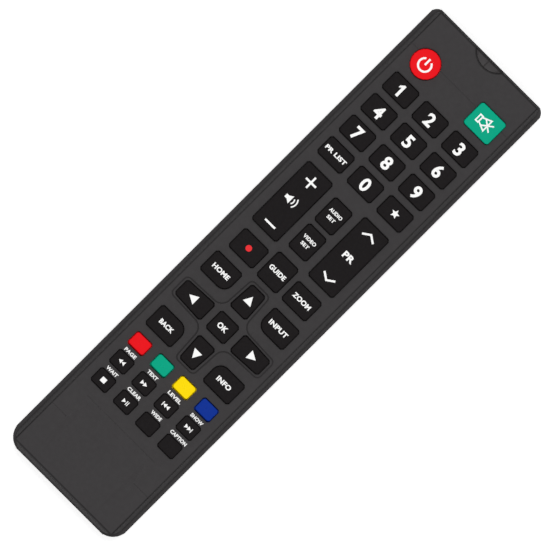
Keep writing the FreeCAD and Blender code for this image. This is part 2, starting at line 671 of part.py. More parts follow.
def make_key(key):
    """Key cap on the foot that keeps it behind the face, with its contact studs below."""
    body = new_body(key.label)
    foot = new_sketch(body, key.label + "_foot", offset=("0", "0", FOOT_BOTTOM))
    if key.tips:
        half_width = f"({ACROSS} * rocker_width / 2 + foot_width)"
        add_rectangle(foot, f"{key.x} - {half_width}", f"{key.y} - rocker_foot_length / 2",
                      f"{key.x} + {half_width}", f"{key.y} + rocker_foot_length / 2")
        bead = new_sketch(body, key.label + "_bead", "YZ_Plane",
                          (key.y, f"{WEB_TOP} + key_bottom_gap + rocker_bead_radius", key.x))
        add_circle(bead, "0", "0", "2 * rocker_bead_radius")
        pad(bead, f"{ACROSS} * rocker_width", both_ways=True)
    else:
        key.draw(foot, "foot_width", sharp=True)
    pad(foot, "foot_thickness")
    cap = new_sketch(body, key.label + "_cap", offset=("0", "0", FOOT_BOTTOM))
    key.draw(cap)
    pad(cap, f"{FACE} + {key.rise} - {FOOT_BOTTOM}")
    for number, (x, y) in enumerate(key.stud_middles(), start=1):
        stud = new_sketch(body, f"{key.label}_stud_{number}", offset=("0", "0", FOOT_BOTTOM))
        add_rectangle(stud, f"{x} - {key.stud} / 2", f"{y} - {key.stud} / 2",
                      f"{x} + {key.stud} / 2", f"{y} + {key.stud} / 2")
        pad(stud, f"{FOOT_BOTTOM} - {STUD_BOTTOM}" + (" + rocker_lift" if key.tips else ""), downwards=True)
    return body


def prism(label, height, length, draw):
    """Upright solid between two heights with a sketched plan."""
    sketch = doc.addObject("Sketcher::SketchObject", label + "_sketch")
    sketch.setExpression("Placement.Base.z", bound(height))
    draw(sketch)
    solid = doc.addObject("Part::Extrusion", label)
    solid.Base = sketch
    solid.DirMode = "Normal"
    solid.Solid = True
    solid.setExpression("LengthFwd", bound(length))
    return solid


def box(label, left, front, bottom, width, length, height):
    """Block from its lowest corner and its sizes."""
    block = doc.addObject("Part::Box", label)
    for name, size in zip(("Width", "Length", "Height"), (length, width, height)):
        block.setExpression(name, bound(size))
    for axis, place in zip("xyz", (left, front, bottom)):
        block.setExpression(f"Placement.Base.{axis}", bound(place))
    return block


def cut_all(label, base, tools):
    """The base less a group of separate solids."""
    group = doc.addObject("Part::Compound", label + "_holes")
    group.Links = tools
    piece = doc.addObject("Part::Cut", label + "_piece")
    piece.Base = base
    piece.Tool = group
    piece.Label = label
    return piece


def raise_plateau(body):
    """Raised cross round the arrow keys with a sloping edge."""
    long_tip = ("plateau_arm_along", "plateau_reach_along", "plateau_end_radius")
    root = ("plateau_arm_along_root", "plateau_arm_side_root", "plateau_inner_radius")
    side_tip = ("plateau_reach_side", "plateau_arm_side", "plateau_end_radius")
    corners = []
    for sign_x, sign_y in CORNER_SIGNS:
        order = (side_tip, root, long_tip) if sign_x == sign_y else (long_tip, root, side_tip)
        corners += [(f"{sign_x}{ACROSS} * {x}", f"{row_y('plateau_centre')} {sign_y} {ALONG} * {y}", radius)
                    for x, y, radius in order]
    plateau = new_sketch(body, "plateau", offset=("0", "0", FACE))
    add_outline(plateau, corners)
    solid = pad(plateau, "plateau_height")
    solid.setExpression("TaperAngle", bound("-atan(plateau_edge_width / plateau_height)"))


def cut_dish(body):
    """Shallow thumb dish that starts at the middle crease and fades out at the tail edge."""
    section = new_sketch(body, "dish", "XZ_Plane", ("0", FACE, f"-({TAIL} + {DISH_LENGTH})"))
    floor_half = "(dish_half_width - dish_flank_width)"
    brim_half = "(dish_half_width + 3 * dish_flank_width)"
    brim = "4 * dish_flank_rise"
    add_outline(section, [(f"-{floor_half}", "0", None), (floor_half, "0", None),
                          (brim_half, brim, None), (f"-{brim_half}", brim, None)])
    cut = pocket(section, f"{DISH_LENGTH} + case_wall")
    cut.UseCustomVector = True
    cut.AlongSketchNormal = True
    cut.Direction = -Y_AXIS
    cut.setExpression("Direction.z", bound(f"-tail_facet_drop / {DISH_LENGTH}"))


def make_upper_case(keys):
    """Moulded upper half: face with the key openings, shoulders, facets, ribs and the screw boss."""
    body = shell("upper_moulding", upper_form)
    cut_dish(body)
    raise_plateau(body)

    notch = new_sketch(body, "window_notch", offset=("0", "0", FACE))
    draw_window(notch, "window_clearance")
    pocket(notch)

    rib = new_sketch(body, "board_rib", offset=("0", "0", f"{BOARD_TOP} + rib_gap"))
    rib_y = row_y("rib_first")
    for side in ("", "-"):
        edges = [f"{side}({BOARD_HALF} - rib_overlap)", f"{side}(body_width / 2 - shoulder_width)"]
        left, right = edges if side == "" else edges[::-1]
        add_rectangle(rib, left, f"{rib_y} - rib_width / 2", right, f"{rib_y} + rib_width / 2")
    ribs = pad(rib, f"{CEILING} + rib_root - {BOARD_TOP} - rib_gap")
    repeat(body, ribs, "Y_Axis", f"rib_pitch * {ALONG}", "rib_count", backwards=True)

    boss = new_sketch(body, "screw_boss", offset=("0", "0", f"{BAY_TOP} + board_gap"))
    add_circle(boss, "0", SCREW_Y, "boss_diameter")
    pad(boss, f"{CEILING} + rib_root - {BAY_TOP} - board_gap")
    hole = new_sketch(body, "screw_hole", offset=("0", "0", BAY_TOP))
    add_circle(hole, "0", SCREW_Y, "screw_diameter + 2 * screw_clearance")
    pocket(hole, f"{BAY_CEILING} + screw_length + rib_root - {BAY_TOP}", upwards=True)

    openings = []
    for key in keys:
        openings.append(prism(f"{key.label}_opening", f"{CEILING} - head_facet_drop",
                              "head_facet_drop + case_wall + nav_key_rise",
                              lambda sketch, key=key: key.draw(sketch, "key_clearance")))
    return cut_all("upper_case", body, openings)


def make_window():
    """Infrared window: the segment of the upper form inside one circle, with a middle ridge."""
    body = new_body("ir_window")
    upper_form(body)
    keep_inside(body, "window_edge", "XY_Plane", draw_window)
    ridge = new_sketch(body, "window_ridge", "XZ_Plane")
    half = "window_chord / 2"
    top = f"({FACE} - head_facet_drop)"
    foot = f"({top} - window_ridge)"
    add_outline(ridge, [("0", f"{FACE}", None), (f"-{half}", foot, None),
                        (f"-{half}", f"{FACE} + case_wall", None),
                        (half, f"{FACE} + case_wall", None), (half, foot, None)])
    pocket(ridge, both_ways=True)
    return body


def make_lower_case():
    """Moulded lower half: tray with the battery bay, cover rails, locating lip and board posts."""
    body = shell("lower_case", lower_form)

    lean = f"(shoulder_width - seam_step) * register_rise / ({FACE} - parting_height)"
    lip_depth = f"(case_wall + register_clearance + {lean})"
    for name, outer, start, rise in (("lip_root", "0", "parting_height - register_root", "register_root"),
                                     ("lip", lip_depth, "parting_height", "register_rise")):
        lip = new_sketch(body, name, offset=("0", "0", start))
        add_outline(lip, upper_plan(outer))
        add_outline(lip, upper_plan(f"({lip_depth} + register_wall)"))
        pad(lip, rise)
    gap = new_sketch(body, "window_gap", offset=("0", "0", "parting_height"))
    add_rectangle(gap, "-window_chord / 2 - register_wall", f"{HEAD} - window_depth - register_wall",
                  "window_chord / 2 + register_wall", HEAD)
    pocket(gap, "register_rise", upwards=True)

    rails = new_sketch(body, "rails", offset=("0", "0", "flange_underside"))
    rail_x = "(cover_half_width + rail_width)"
    add_rectangle(rails, f"-{rail_x}", f"{TAIL} + bottom_edge_radius", rail_x, f"{COVER_HEAD} + rail_width")
    pad(rails, "case_wall + flange_gap + rail_height - flange_underside")

    bay = new_sketch(body, "bay", offset=("0", "0", "case_wall"))
    add_rectangle(bay, f"-({BAY_HALF_WIDTH} + bay_wall)", f"{BAY_TAIL} - bay_wall",
                  f"{BAY_HALF_WIDTH} + bay_wall", f"{BAY_HEAD} + bay_wall")
    pad(bay, f"{BAY_TOP} - case_wall")
    room = new_sketch(body, "bay_room")
    add_rectangle(room, f"-{BAY_HALF_WIDTH}", BAY_TAIL, BAY_HALF_WIDTH, BAY_HEAD)
    pocket(room, BAY_CEILING, upwards=True)

    opening = new_sketch(body, "cover_opening")
    gap_x = "(cover_half_width + cover_gap)"
    add_rectangle(opening, f"-{gap_x}", f"{TAIL} - cover_gap", gap_x, f"{COVER_HEAD} + cover_gap")
    pocket(opening, "case_wall + flange_gap", upwards=True)
    slot = new_sketch(body, "runner_slot", offset=("0", "0", "flange_underside - flange_gap"))
    slot_x = "(cover_half_width + flange_width + cover_gap)"
    add_rectangle(slot, f"-{slot_x}", f"{TAIL} - cover_gap",
                  slot_x, f"{COVER_HEAD} + flange_width + cover_gap")
    pocket(slot, "case_wall + 2 * flange_gap - flange_underside", upwards=True)
    tail_gap = new_sketch(body, "cover_tail_opening")
    add_rectangle(tail_gap, f"-{gap_x}", f"{TAIL} - cover_gap",
                  gap_x, f"{TAIL} + bottom_edge_radius + case_wall")
    pocket(tail_gap, "cover_end_height + cover_gap", upwards=True)

    tab_slots = new_sketch(body, "tab_slots", offset=("0", "0", BAY_TOP))
    for side in ("-", ""):
        add_rectangle(tab_slots, f"{side}{CELL_X} - contact_tab_width / 2 - cover_gap",
                      f"{BAY_HEAD} - contact_thickness - cover_gap",
                      f"{side}{CELL_X} + contact_tab_width / 2 + cover_gap", BAY_HEAD)
    pocket(tab_slots, "bay_roof")
    hole = new_sketch(body, "roof_hole", offset=("0", "0", BAY_TOP))
    add_circle(hole, "0", SCREW_Y, "screw_diameter + 2 * screw_clearance")
    pocket(hole, "bay_roof")

    posts = new_sketch(body, "board_posts", offset=("0", "0", "case_wall / 2"))
    for side in ("-", ""):
        for row in ("post_first", "post_first + post_pitch"):
            y = row_y(row)
            add_rectangle(posts, f"{side}post_x - post_width / 2", f"{y} - post_width / 2",
                          f"{side}post_x + post_width / 2", f"{y} + post_width / 2")
    pad(posts, f"{BOARD_BOTTOM} - post_gap - case_wall / 2")
    return body


def make_battery_cover():
    """Sliding cover cut from the lower moulding's own form, with runners, latch tongue and thumb grooves."""
    body = shell("battery_cover", lower_form)
    keep_inside(body, "cover_plan", "XY_Plane",
                lambda sketch: add_rectangle(sketch, "-cover_half_width", f"{TAIL} - cover_gap",
                                             "cover_half_width", COVER_HEAD))
    above = new_sketch(body, "cover_height", offset=("0", "0", "cover_end_height"))
    add_rectangle(above, "-body_width", TAIL, "body_width", COVER_HEAD)
    pocket(above, "parting_height", upwards=True)

    runner = new_sketch(body, "runner", offset=("0", "0", "flange_underside"))
    runner_x = "(cover_half_width + flange_width)"
    add_rectangle(runner, f"-{runner_x}", f"{TAIL} + flange_tail_inset",
                  runner_x, f"{COVER_HEAD} + flange_width")
    pad(runner, "case_wall - flange_underside")

    tongue = new_sketch(body, "latch_slot")
    add_rectangle(tongue, "latch_half_width", f"{COVER_HEAD} - latch_length",
                  "latch_half_width + latch_slot", f"{COVER_HEAD} + 2 * flange_width")
    mirror(body, pocket(tongue, "case_wall", upwards=True))

    groove = new_sketch(body, "grip_groove")
    first = f"({COVER_HEAD} - grip_distance)"
    add_rectangle(groove, "-grip_groove_length / 2", f"{first} - grip_groove_width",
                  "grip_groove_length / 2", first)
    cut = pocket(groove, "grip_groove_depth", upwards=True)
    repeat(body, cut, "Y_Axis", "grip_groove_pitch", "grip_groove_count", backwards=True)
    return body


def make_cell(label, side):
    """AAA cell; the left one points to the head and the right one to the tail."""
    body = new_body(label)
    half = new_sketch(body, label + "_half", "YZ_Plane")
    shoulder = "(cell_length - nub_length)"
    add_outline(half, [("0", "0", None), ("cell_length", "0", None),
                       ("cell_length", "nub_diameter / 2", None), (shoulder, "nub_diameter / 2", None),
                       (shoulder, "cell_diameter / 2", None), ("0", "cell_diameter / 2", None)])
    revolve(half)
    reach = "(contact_thickness + contact_gap + cell_length)"
    body.setExpression("Placement.Base.x", bound(f"{side}{CELL_X}"))
    body.setExpression("Placement.Base.z", bound(CELL_AXIS))
    if side == "-":
        body.setExpression("Placement.Base.y", bound(f"{BAY_HEAD} - {reach}"))
    else:
        body.Placement.Rotation = FreeCAD.Rotation(Z_AXIS, 180)
        body.setExpression("Placement.Base.y", bound(f"{BAY_TAIL} + {reach}"))
    return body


def contact_plate(body, left, right, back, tab_middle=None):
    """Plate against an end wall of the bay, with a solder tab up to the board where it has one."""
    plate = new_sketch(body, body.Label + "_plate", "XZ_Plane", ("0", "0", f"-({back})"))
    half = "contact_width / 2"
    add_rectangle(plate, left, f"{CELL_AXIS} - {half}", right, f"{CELL_AXIS} + {half}")
    pad(plate, "contact_thickness")
    if tab_middle:
        tab = new_sketch(body, body.Label + "_tab", "XZ_Plane", ("0", "0", f"-({back})"))
        add_rectangle(tab, f"{tab_middle} - contact_tab_width / 2", CELL_AXIS,
                      f"{tab_middle} + contact_tab_width / 2", BOARD_BOTTOM)
        pad(tab, "contact_thickness")


def contact_coil(body, side, start, direction):
    """Cone that the contact spring fills, from its plate to the flat end of a cell."""
    half = new_sketch(body, body.Label + "_coil", "YZ_Plane", (start, CELL_AXIS, f"{side}{CELL_X}"))
    tip = f"{direction}spring_length"
    add_outline(half, [("0", "0", None), (tip, "0", None), (tip, "spring_tip_diameter / 2", None),
                       ("0", "spring_base_diameter / 2", None)])
    revolve(half)


def make_contacts():
    """Positive plate, negative spring and the bridge that joins the cells at the tail."""
    half = "contact_width / 2"
    positive = new_body("contact_positive")
    contact_plate(positive, f"-{CELL_X} - {half}", f"-{CELL_X} + {half}", BAY_HEAD, f"-{CELL_X}")
    negative = new_body("contact_negative")
    contact_plate(negative, f"{CELL_X} - {half}", f"{CELL_X} + {half}", BAY_HEAD, CELL_X)
    contact_coil(negative, "", f"{BAY_HEAD} - contact_thickness", "-")
    bridge = new_body("contact_bridge")
    contact_plate(bridge, f"-{CELL_X} - {half}", f"{CELL_X} + {half}", f"{BAY_TAIL} + contact_thickness")
    contact_coil(bridge, "-", f"{BAY_TAIL} + contact_thickness", "")
    return [positive, negative, bridge]


def make_board():
    """Circuit board across the case."""
    body = new_body("circuit_board")
    plan = new_sketch(body, "board_plan", offset=("0", "0", BOARD_BOTTOM))
    add_rectangle(plan, f"-{BOARD_HALF}", BOARD_TAIL, BOARD_HALF, f"{HEAD} - board_head_distance",
                  "board_corner_radius")
    pad(plan, "board_thickness")
    return body


def make_web(keys):
    """Silicone sheet on the board with a hole for each contact stud."""
    edge_x = f"({BOARD_HALF} - web_inset)"
    front = f"({BOARD_TAIL} + web_inset)"
    back = f"({HEAD} - board_head_distance - web_inset)"
    sheet_block = box("web_sheet", f"-{edge_x}", front, BOARD_TOP, f"2 * {edge_x}", f"{back} - {front}",
                      "web_thickness")
    holes = []
    for key in keys:
        for number, (x, y) in enumerate(key.stud_middles(), start=1):
            half = f"({key.stud} / 2 + web_hole_gap)"
            holes.append(box(f"{key.label}_web_hole_{number}", f"{x} - {half}", f"{y} - {half}",
                             f"{BOARD_TOP} - web_thickness", f"2 * {half}", f"2 * {half}",
                             "3 * web_thickness"))
    return cut_all("keypad_web", sheet_block, holes)


def make_screw():
    """Case screw, up through the roof of the bay into the boss."""
    body = new_body("case_screw")
    half = new_sketch(body, "screw_half", "XZ_Plane", ("0", BAY_CEILING, f"-({SCREW_Y})"))
    add_outline(half, [("0", "-screw_head_height", None),
                       ("screw_head_diameter / 2", "-screw_head_height", None),
                       ("screw_head_diameter / 2", "0", None), ("screw_diameter / 2", "0", None),
                       ("screw_diameter / 2", "screw_length - screw_diameter / 2", None),
                       ("0", "screw_length", None)])
    revolve(half, "V_Axis")
    return body


def make_led():
    """Infrared LED behind the window, on two leads under the board."""
    body = new_body("ir_led")
    base = f"({HEAD} - board_head_distance + led_gap)"
    half = new_sketch(body, "led_half", "YZ_Plane", (base, "led_height", "0"))
    radius = "led_diameter / 2"
    add_outline(half, [("0", "0", None), ("led_length", "0", None),
                       ("led_length", "led_tip_diameter / 2", None),
                       ("led_length - led_tip_length", radius, None), ("led_flange_thickness", radius, None),
                       ("led_flange_thickness", "led_flange_diameter / 2", None),
                       ("0", "led_flange_diameter / 2", None)])
    revolve(half)
    leads = new_sketch(body, "led_leads", "XZ_Plane", ("0", "0", f"-({base} + led_flange_thickness / 2)"))
    for side in ("-", ""):
        middle = f"{side}lead_spacing / 2"
        add_rectangle(leads, f"{middle} - lead_width / 2", f"{BOARD_BOTTOM} - lead_width",
                      f"{middle} + lead_width / 2", BOARD_BOTTOM)
    pad(leads, "lead_length")
    return body


def make_chip():
    """Controller chip under the board with a row of pins on each side."""
    body = new_body("controller_chip")
    y = row_y("chip_from_head")
    block = new_sketch(body, "chip_block", offset=("0", "0", f"{BOARD_BOTTOM} - pin_thickness / 2"))
    add_rectangle(block, "-chip_length / 2", f"{y} - chip_width / 2",
                  "chip_length / 2", f"{y} + chip_width / 2")
    pad(block, "chip_height", downwards=True)
    pins = new_sketch(body, "chip_pins", offset=("0", "0", BOARD_BOTTOM))
    first = "(-(pin_count - 1) * pin_pitch / 2)"
    add_rectangle(pins, f"{first} - pin_width / 2", f"{y} - chip_width / 2 - pin_length",
                  f"{first} + pin_width / 2", f"{y} + chip_width / 2 + pin_length")
    row = pad(pins, "pin_thickness", downwards=True)
    repeat(body, row, "X_Axis", "pin_pitch", "pin_count")
    return body


def make_small_parts():
    """Resonator, capacitor and chip resistors under the board."""
    resonator_y = row_y("resonator_from_head")
    resonator = box("resonator", f"{BOARD_HALF} - resonator_margin - resonator_length",
                    f"{resonator_y} - resonator_width / 2", f"{BOARD_BOTTOM} - resonator_height",
                    "resonator_length", "resonator_width", "resonator_height")
    capacitor = new_body("capacitor")
    can = new_sketch(capacitor, "capacitor_can", offset=("0", "0", BOARD_BOTTOM))
    add_circle(can, "-capacitor_x", row_y("capacitor_from_head"), "capacitor_diameter")
    pad(can, "capacitor_height", downwards=True)
    resistors = doc.addObject("Part::Compound", "resistor_group")
    resistors.Label = "chip_resistors"
    resistors.Links = [box(f"resistor_{number + 1}",
                           f"({number} - (resistor_count - 1) / 2) * resistor_pitch",
                           row_y("resistor_from_head"), f"{BOARD_BOTTOM} - resistor_height",
                           "resistor_width", "resistor_length", "resistor_height")
                       for number in range(int(value("resistor_count")))]
    return [resonator, capacitor, resistors]


def check_and_export(pieces):
    """Stop on any failed object, then write one STEP file for each sub-part."""
    doc.recompute()
    failed = [item.Name for item in doc.Objects if {"Invalid", "Error"} & set(item.State)]
    if failed:
        raise RuntimeError("objects that failed: " + ", ".join(failed))
    for piece in pieces:
        if piece.Shape.isNull() or not piece.Shape.isValid() or not piece.Shape.Solids:
            raise RuntimeError("no valid solid in " + piece.Label)
    os.makedirs(PARTS_FOLDER, exist_ok=True)
    for piece in pieces:
        piece.Shape.exportStep(os.path.join(PARTS_FOLDER, piece.Label + ".step"))


fill_sheet()
keys = all_keys()
pieces = [make_upper_case(keys), make_window(), make_lower_case(), make_battery_cover()]
pieces += [make_cell("battery_left", "-"), make_cell("battery_right", "")]
pieces += make_contacts()
pieces += [make_board(), make_web(keys), make_screw(), make_led(), make_chip()]
pieces += make_small_parts()
pieces += [make_key(key) for key in keys]
check_and_export(pieces)
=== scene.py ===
import math

import bmesh
import bpy
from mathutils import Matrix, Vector


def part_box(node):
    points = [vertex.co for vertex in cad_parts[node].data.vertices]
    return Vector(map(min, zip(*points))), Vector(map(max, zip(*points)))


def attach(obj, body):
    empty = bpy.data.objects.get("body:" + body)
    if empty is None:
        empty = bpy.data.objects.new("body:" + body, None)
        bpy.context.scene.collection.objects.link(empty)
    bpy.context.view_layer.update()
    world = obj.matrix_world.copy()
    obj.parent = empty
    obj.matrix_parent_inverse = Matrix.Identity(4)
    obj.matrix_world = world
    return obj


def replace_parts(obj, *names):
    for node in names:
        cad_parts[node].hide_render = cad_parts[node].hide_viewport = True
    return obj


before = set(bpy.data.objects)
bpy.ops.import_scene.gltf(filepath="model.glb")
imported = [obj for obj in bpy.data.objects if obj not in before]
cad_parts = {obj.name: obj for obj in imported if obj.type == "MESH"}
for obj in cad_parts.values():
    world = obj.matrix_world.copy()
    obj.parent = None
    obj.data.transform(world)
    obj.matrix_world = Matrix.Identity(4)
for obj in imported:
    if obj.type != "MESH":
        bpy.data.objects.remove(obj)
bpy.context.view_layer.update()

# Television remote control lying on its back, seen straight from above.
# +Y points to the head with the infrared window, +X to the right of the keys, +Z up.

MM = 0.001

# Heights and steps of the solids, some of which the frame's boxes give.
PLATEAU_HEIGHT = 0.45 * MM
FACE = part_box("upper_case")[1].z - PLATEAU_HEIGHT
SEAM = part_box("lower_case")[1].z
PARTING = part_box("upper_case")[0].z
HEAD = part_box("lower_case")[1].y
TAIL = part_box("lower_case")[0].y
FOOT_WIDTH = 0.5 * MM
FOOT_THICKNESS = 0.7 * MM
FOOT_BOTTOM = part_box("keypad_web")[1].z + 0.9 * MM
STUD_HALF = 1.7 * MM
SMALL_STUD_HALF = 1.3 * MM
STUD_CORNER = 0.2 * MM
ROCKER_FOOT_HALF = 3 * MM
ROCKER_STUD_REACH = 8.5 * MM
BEAD_RADIUS = 0.6 * MM
BEAD_GAP = 0.1 * MM
BEAD_SIDES = 24

# Creases of the upper case and the window, where fine dark lines are painted as shade over a slight bump
# groove, and its steep sides, which are painted darker as shade.
SIDE_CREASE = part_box("upper_case")[1].x - 1.45 * MM
HEAD_CREASE = HEAD - 0.75 * MM
TAIL_CREASE = TAIL + 1.9 * MM
TAIL_BEVEL = TAIL + 1.4 * MM
HEAD_FACET = HEAD - 13.5 * MM
TAIL_FACET = TAIL + 17.6 * MM
DISH_START = TAIL + 26.5 * MM
DISH_HALF = 14.3 * MM
SIDE_SLOPE = 1.3 * MM
FACE_REACH = 3 * MM
WINDOW_GAP = 0.3 * MM
EDGE_LINE = 0.2 * MM
FAINT_LINE = 0.15 * MM
HEAD_LINE = 0.35 * MM
HEAD_WINDOW_LINE = 0.25 * MM
RIDGE_LINE = 0.12 * MM
BAND_MIDDLE = PARTING + 0.8 * MM
BAND_LINE = 0.9 * MM
CREASE_HALF_WIDTH = 0.13 * MM
CREASE_DEPTH = 0.12 * MM
# Painted shade: colour factor of the fine dark lines at the creases, seam and window gap.
PAINTED_CREASE_SHADE = 0.3
# Painted shade: colour factor that darkens the steep sides, as if turned away from the light.
PAINTED_STEEP_SHADE = 0.85
STEEP_ROUGHNESS = 0.95

# Grain of the materials.
CLOUD_SIZE = 14 * MM
SPECK_GRAINS = 2.2
WEAR_GRAINS = 6
WEAR_RANGE = 0.05
STREAK = 0.5 * MM

# Key caps.
CAP_STEPS = 5
CAP_GROWTH = 0.06 * MM
COLOUR_GROWTH = -0.04 * MM
COLOUR_TAIL_GAP = 0.18 * MM
CAP_TAPER = 0.03 * MM
CAP_EDGE = 0.28 * MM
SMALL_CAP_EDGE = 0.24 * MM
CAP_CROWN = 0.06 * MM
KEY_CORNER = 1.0 * MM
SMALL_CORNER = 0.8 * MM
CURVED_CORNER = 3.1 * MM
ARROW_OUTER_SHARE = 2.78 / 3.3
CROWN_RINGS = (0.8, 0.55, 0.25)
LEAST_RADIUS = 0.02 * MM

# Cleaning and shading of meshes. Angles are in degrees.
MERGE_DISTANCE = 0.002 * MM
SLIVER = 0.001 * MM
LEVEL_ANGLE = 0.4
BEVELLED_ANGLE = 25
SHARP_ANGLE = 50
LEGEND_SHARP_ANGLE = 35
BROAD_FACE = 30 * MM * MM

# Contact springs, as the solids' cones fill them.
PLATE_THICKNESS = 0.4 * MM
SPRING_BASE = 3.2 * MM
SPRING_TIP = 2.1 * MM
SPRING_TURNS = 5
SPRING_STEPS = 24
SPRING_CLIMB = 0.85
PLATE_MARGIN = 0.01 * MM
WIRE_RADIUS = 0.28 * MM
WIRE_SIDES = 8

# Printed legends: ink above the surface, the step between layers that overlap, and the skirt below.
INK_RISE = 0.04 * MM
INK_STEP = 0.004 * MM
INK_SINK = 0.08 * MM
CAPITAL_SHARE = 0.729
LETTER_SPACING = 1.05
WHITE = (1.0, 1.0, 1.0, 1.0)


def srgb(red, green, blue):
    """Linear colour of an 8-bit screen colour."""
    def linear(value):
        share = value / 255
        return share / 12.92 if share <= 0.04045 else ((share + 0.055) / 1.055) ** 2.4
    return linear(red), linear(green), linear(blue), 1.0


# Material nodes

def new_material(name, gloss=0.5):
    """Material with its node tree and principled shader."""
    material = bpy.data.materials.new(name)
    material.use_nodes = True
    tree = material.node_tree
    shader = tree.nodes["Principled BSDF"]
    shader.inputs["Specular IOR Level"].default_value = gloss
    return material, tree, shader


def feed(tree, value, socket):
    """Set a socket to a number or colour, or link it to another socket."""
    if isinstance(value, (int, float, tuple)):
        socket.default_value = value
    else:
        tree.links.new(value, socket)


def calculate(tree, operation, *values):
    """Result of a math node."""
    node = tree.nodes.new("ShaderNodeMath")
    node.operation = operation
    for value, socket in zip(values, node.inputs):
        feed(tree, value, socket)
    return node.outputs["Value"]


def noise(tree, size, detail=2.0, roughness=0.5):
    """Noise whose features are about this size, in metres."""
    coordinates = tree.nodes.new("ShaderNodeTexCoord")
    texture = tree.nodes.new("ShaderNodeTexNoise")
    texture.inputs["Scale"].default_value = 1 / size
    texture.inputs["Detail"].default_value = detail
    texture.inputs["Roughness"].default_value = roughness
    tree.links.new(coordinates.outputs["Object"], texture.inputs["Vector"])
    return texture.outputs["Fac"]


def spread(tree, source, low, high, start=0.3, end=0.7):
    """Map a value from one range onto another, held at its ends."""
    node = tree.nodes.new("ShaderNodeMapRange")
    for value, name in ((source, "Value"), (start, "From Min"), (end, "From Max"),
                        (low, "To Min"), (high, "To Max")):
        feed(tree, value, node.inputs[name])
    return node.outputs["Result"]


def mixed(tree, factor, first, second):
    """Colour between two colours."""
    node = tree.nodes.new("ShaderNodeMix")
    node.data_type = "RGBA"
    colours = {item.name: item for item in node.inputs if item.type == "RGBA"}
    feed(tree, factor, node.inputs["Factor"])
    feed(tree, first, colours["A"])
    feed(tree, second, colours["B"])
    return next(item for item in node.outputs if item.type == "RGBA")


def shade(colour, factor):
    """The same colour, lighter or darker."""
    return tuple(channel * factor for channel in colour[:3]) + (1.0,)


def bump(tree, height, distance, under=None):
    """Relief of a height between 0 and 1."""
    node = tree.nodes.new("ShaderNodeBump")
    node.inputs["Distance"].default_value = distance
    tree.links.new(height, node.inputs["Height"])
    if under:
        tree.links.new(under, node.inputs["Normal"])
    return node.outputs["Normal"]


def place(tree):
    """The three object coordinates."""
    coordinates = tree.nodes.new("ShaderNodeTexCoord")
    parts = tree.nodes.new("ShaderNodeSeparateXYZ")
    tree.links.new(coordinates.outputs["Object"], parts.inputs["Vector"])
    return parts.outputs


# Materials

def moulded(name, colour, roughness, grain, depth, gloss=0.15, variation=0.05, lines=None):
    """Moulded plastic or rubber with eroded grain, cloudy colour and uneven gloss. Where lines are given, it
    also gets painted shade: dark crease lines over a slight bump groove, and steep parts painted darker and
    made rougher.
    """
    material, tree, shader = new_material(name, gloss)
    clouded = mixed(tree, noise(tree, CLOUD_SIZE, 3), shade(colour, 1 - variation),
                    shade(colour, 1 + variation))
    specks = spread(tree, noise(tree, grain * SPECK_GRAINS), 0.0, 0.25)
    base = mixed(tree, specks, clouded, shade(colour, 1 + 3 * variation))
    normal = bump(tree, noise(tree, grain, 3, 0.6), depth)
    worn = spread(tree, noise(tree, grain * WEAR_GRAINS, 3), roughness - WEAR_RANGE, roughness + WEAR_RANGE)
    if lines:
        crease_shade_and_groove, steep = lines(tree)
        worn = calculate(tree, "MAXIMUM", worn, calculate(tree, "MULTIPLY", steep, STEEP_ROUGHNESS))
        # Painted shade: steep parts are darker, as if turned away from the light, and also rougher.
        base = mixed(tree, steep, base, shade(colour, PAINTED_STEEP_SHADE))
        # Painted shade: dark crease lines where shade would fall. The bump below also sinks them as a slight
        # groove.
        base = mixed(tree, crease_shade_and_groove, base, shade(colour, PAINTED_CREASE_SHADE))
        normal = bump(tree, calculate(tree, "SUBTRACT", 1.0, crease_shade_and_groove), CREASE_DEPTH, normal)
    feed(tree, base, shader.inputs["Base Color"])
    feed(tree, normal, shader.inputs["Normal"])
    feed(tree, worn, shader.inputs["Roughness"])
    return material


def line_at(tree, coordinate, middle, strength=1.0, half_width=CREASE_HALF_WIDTH):
    """Strength of a fine line where a coordinate has one value, soft at both sides."""
    away = calculate(tree, "ABSOLUTE", calculate(tree, "SUBTRACT", coordinate, middle))
    return spread(tree, away, strength, 0.0, half_width * 0.5, half_width * 1.5)


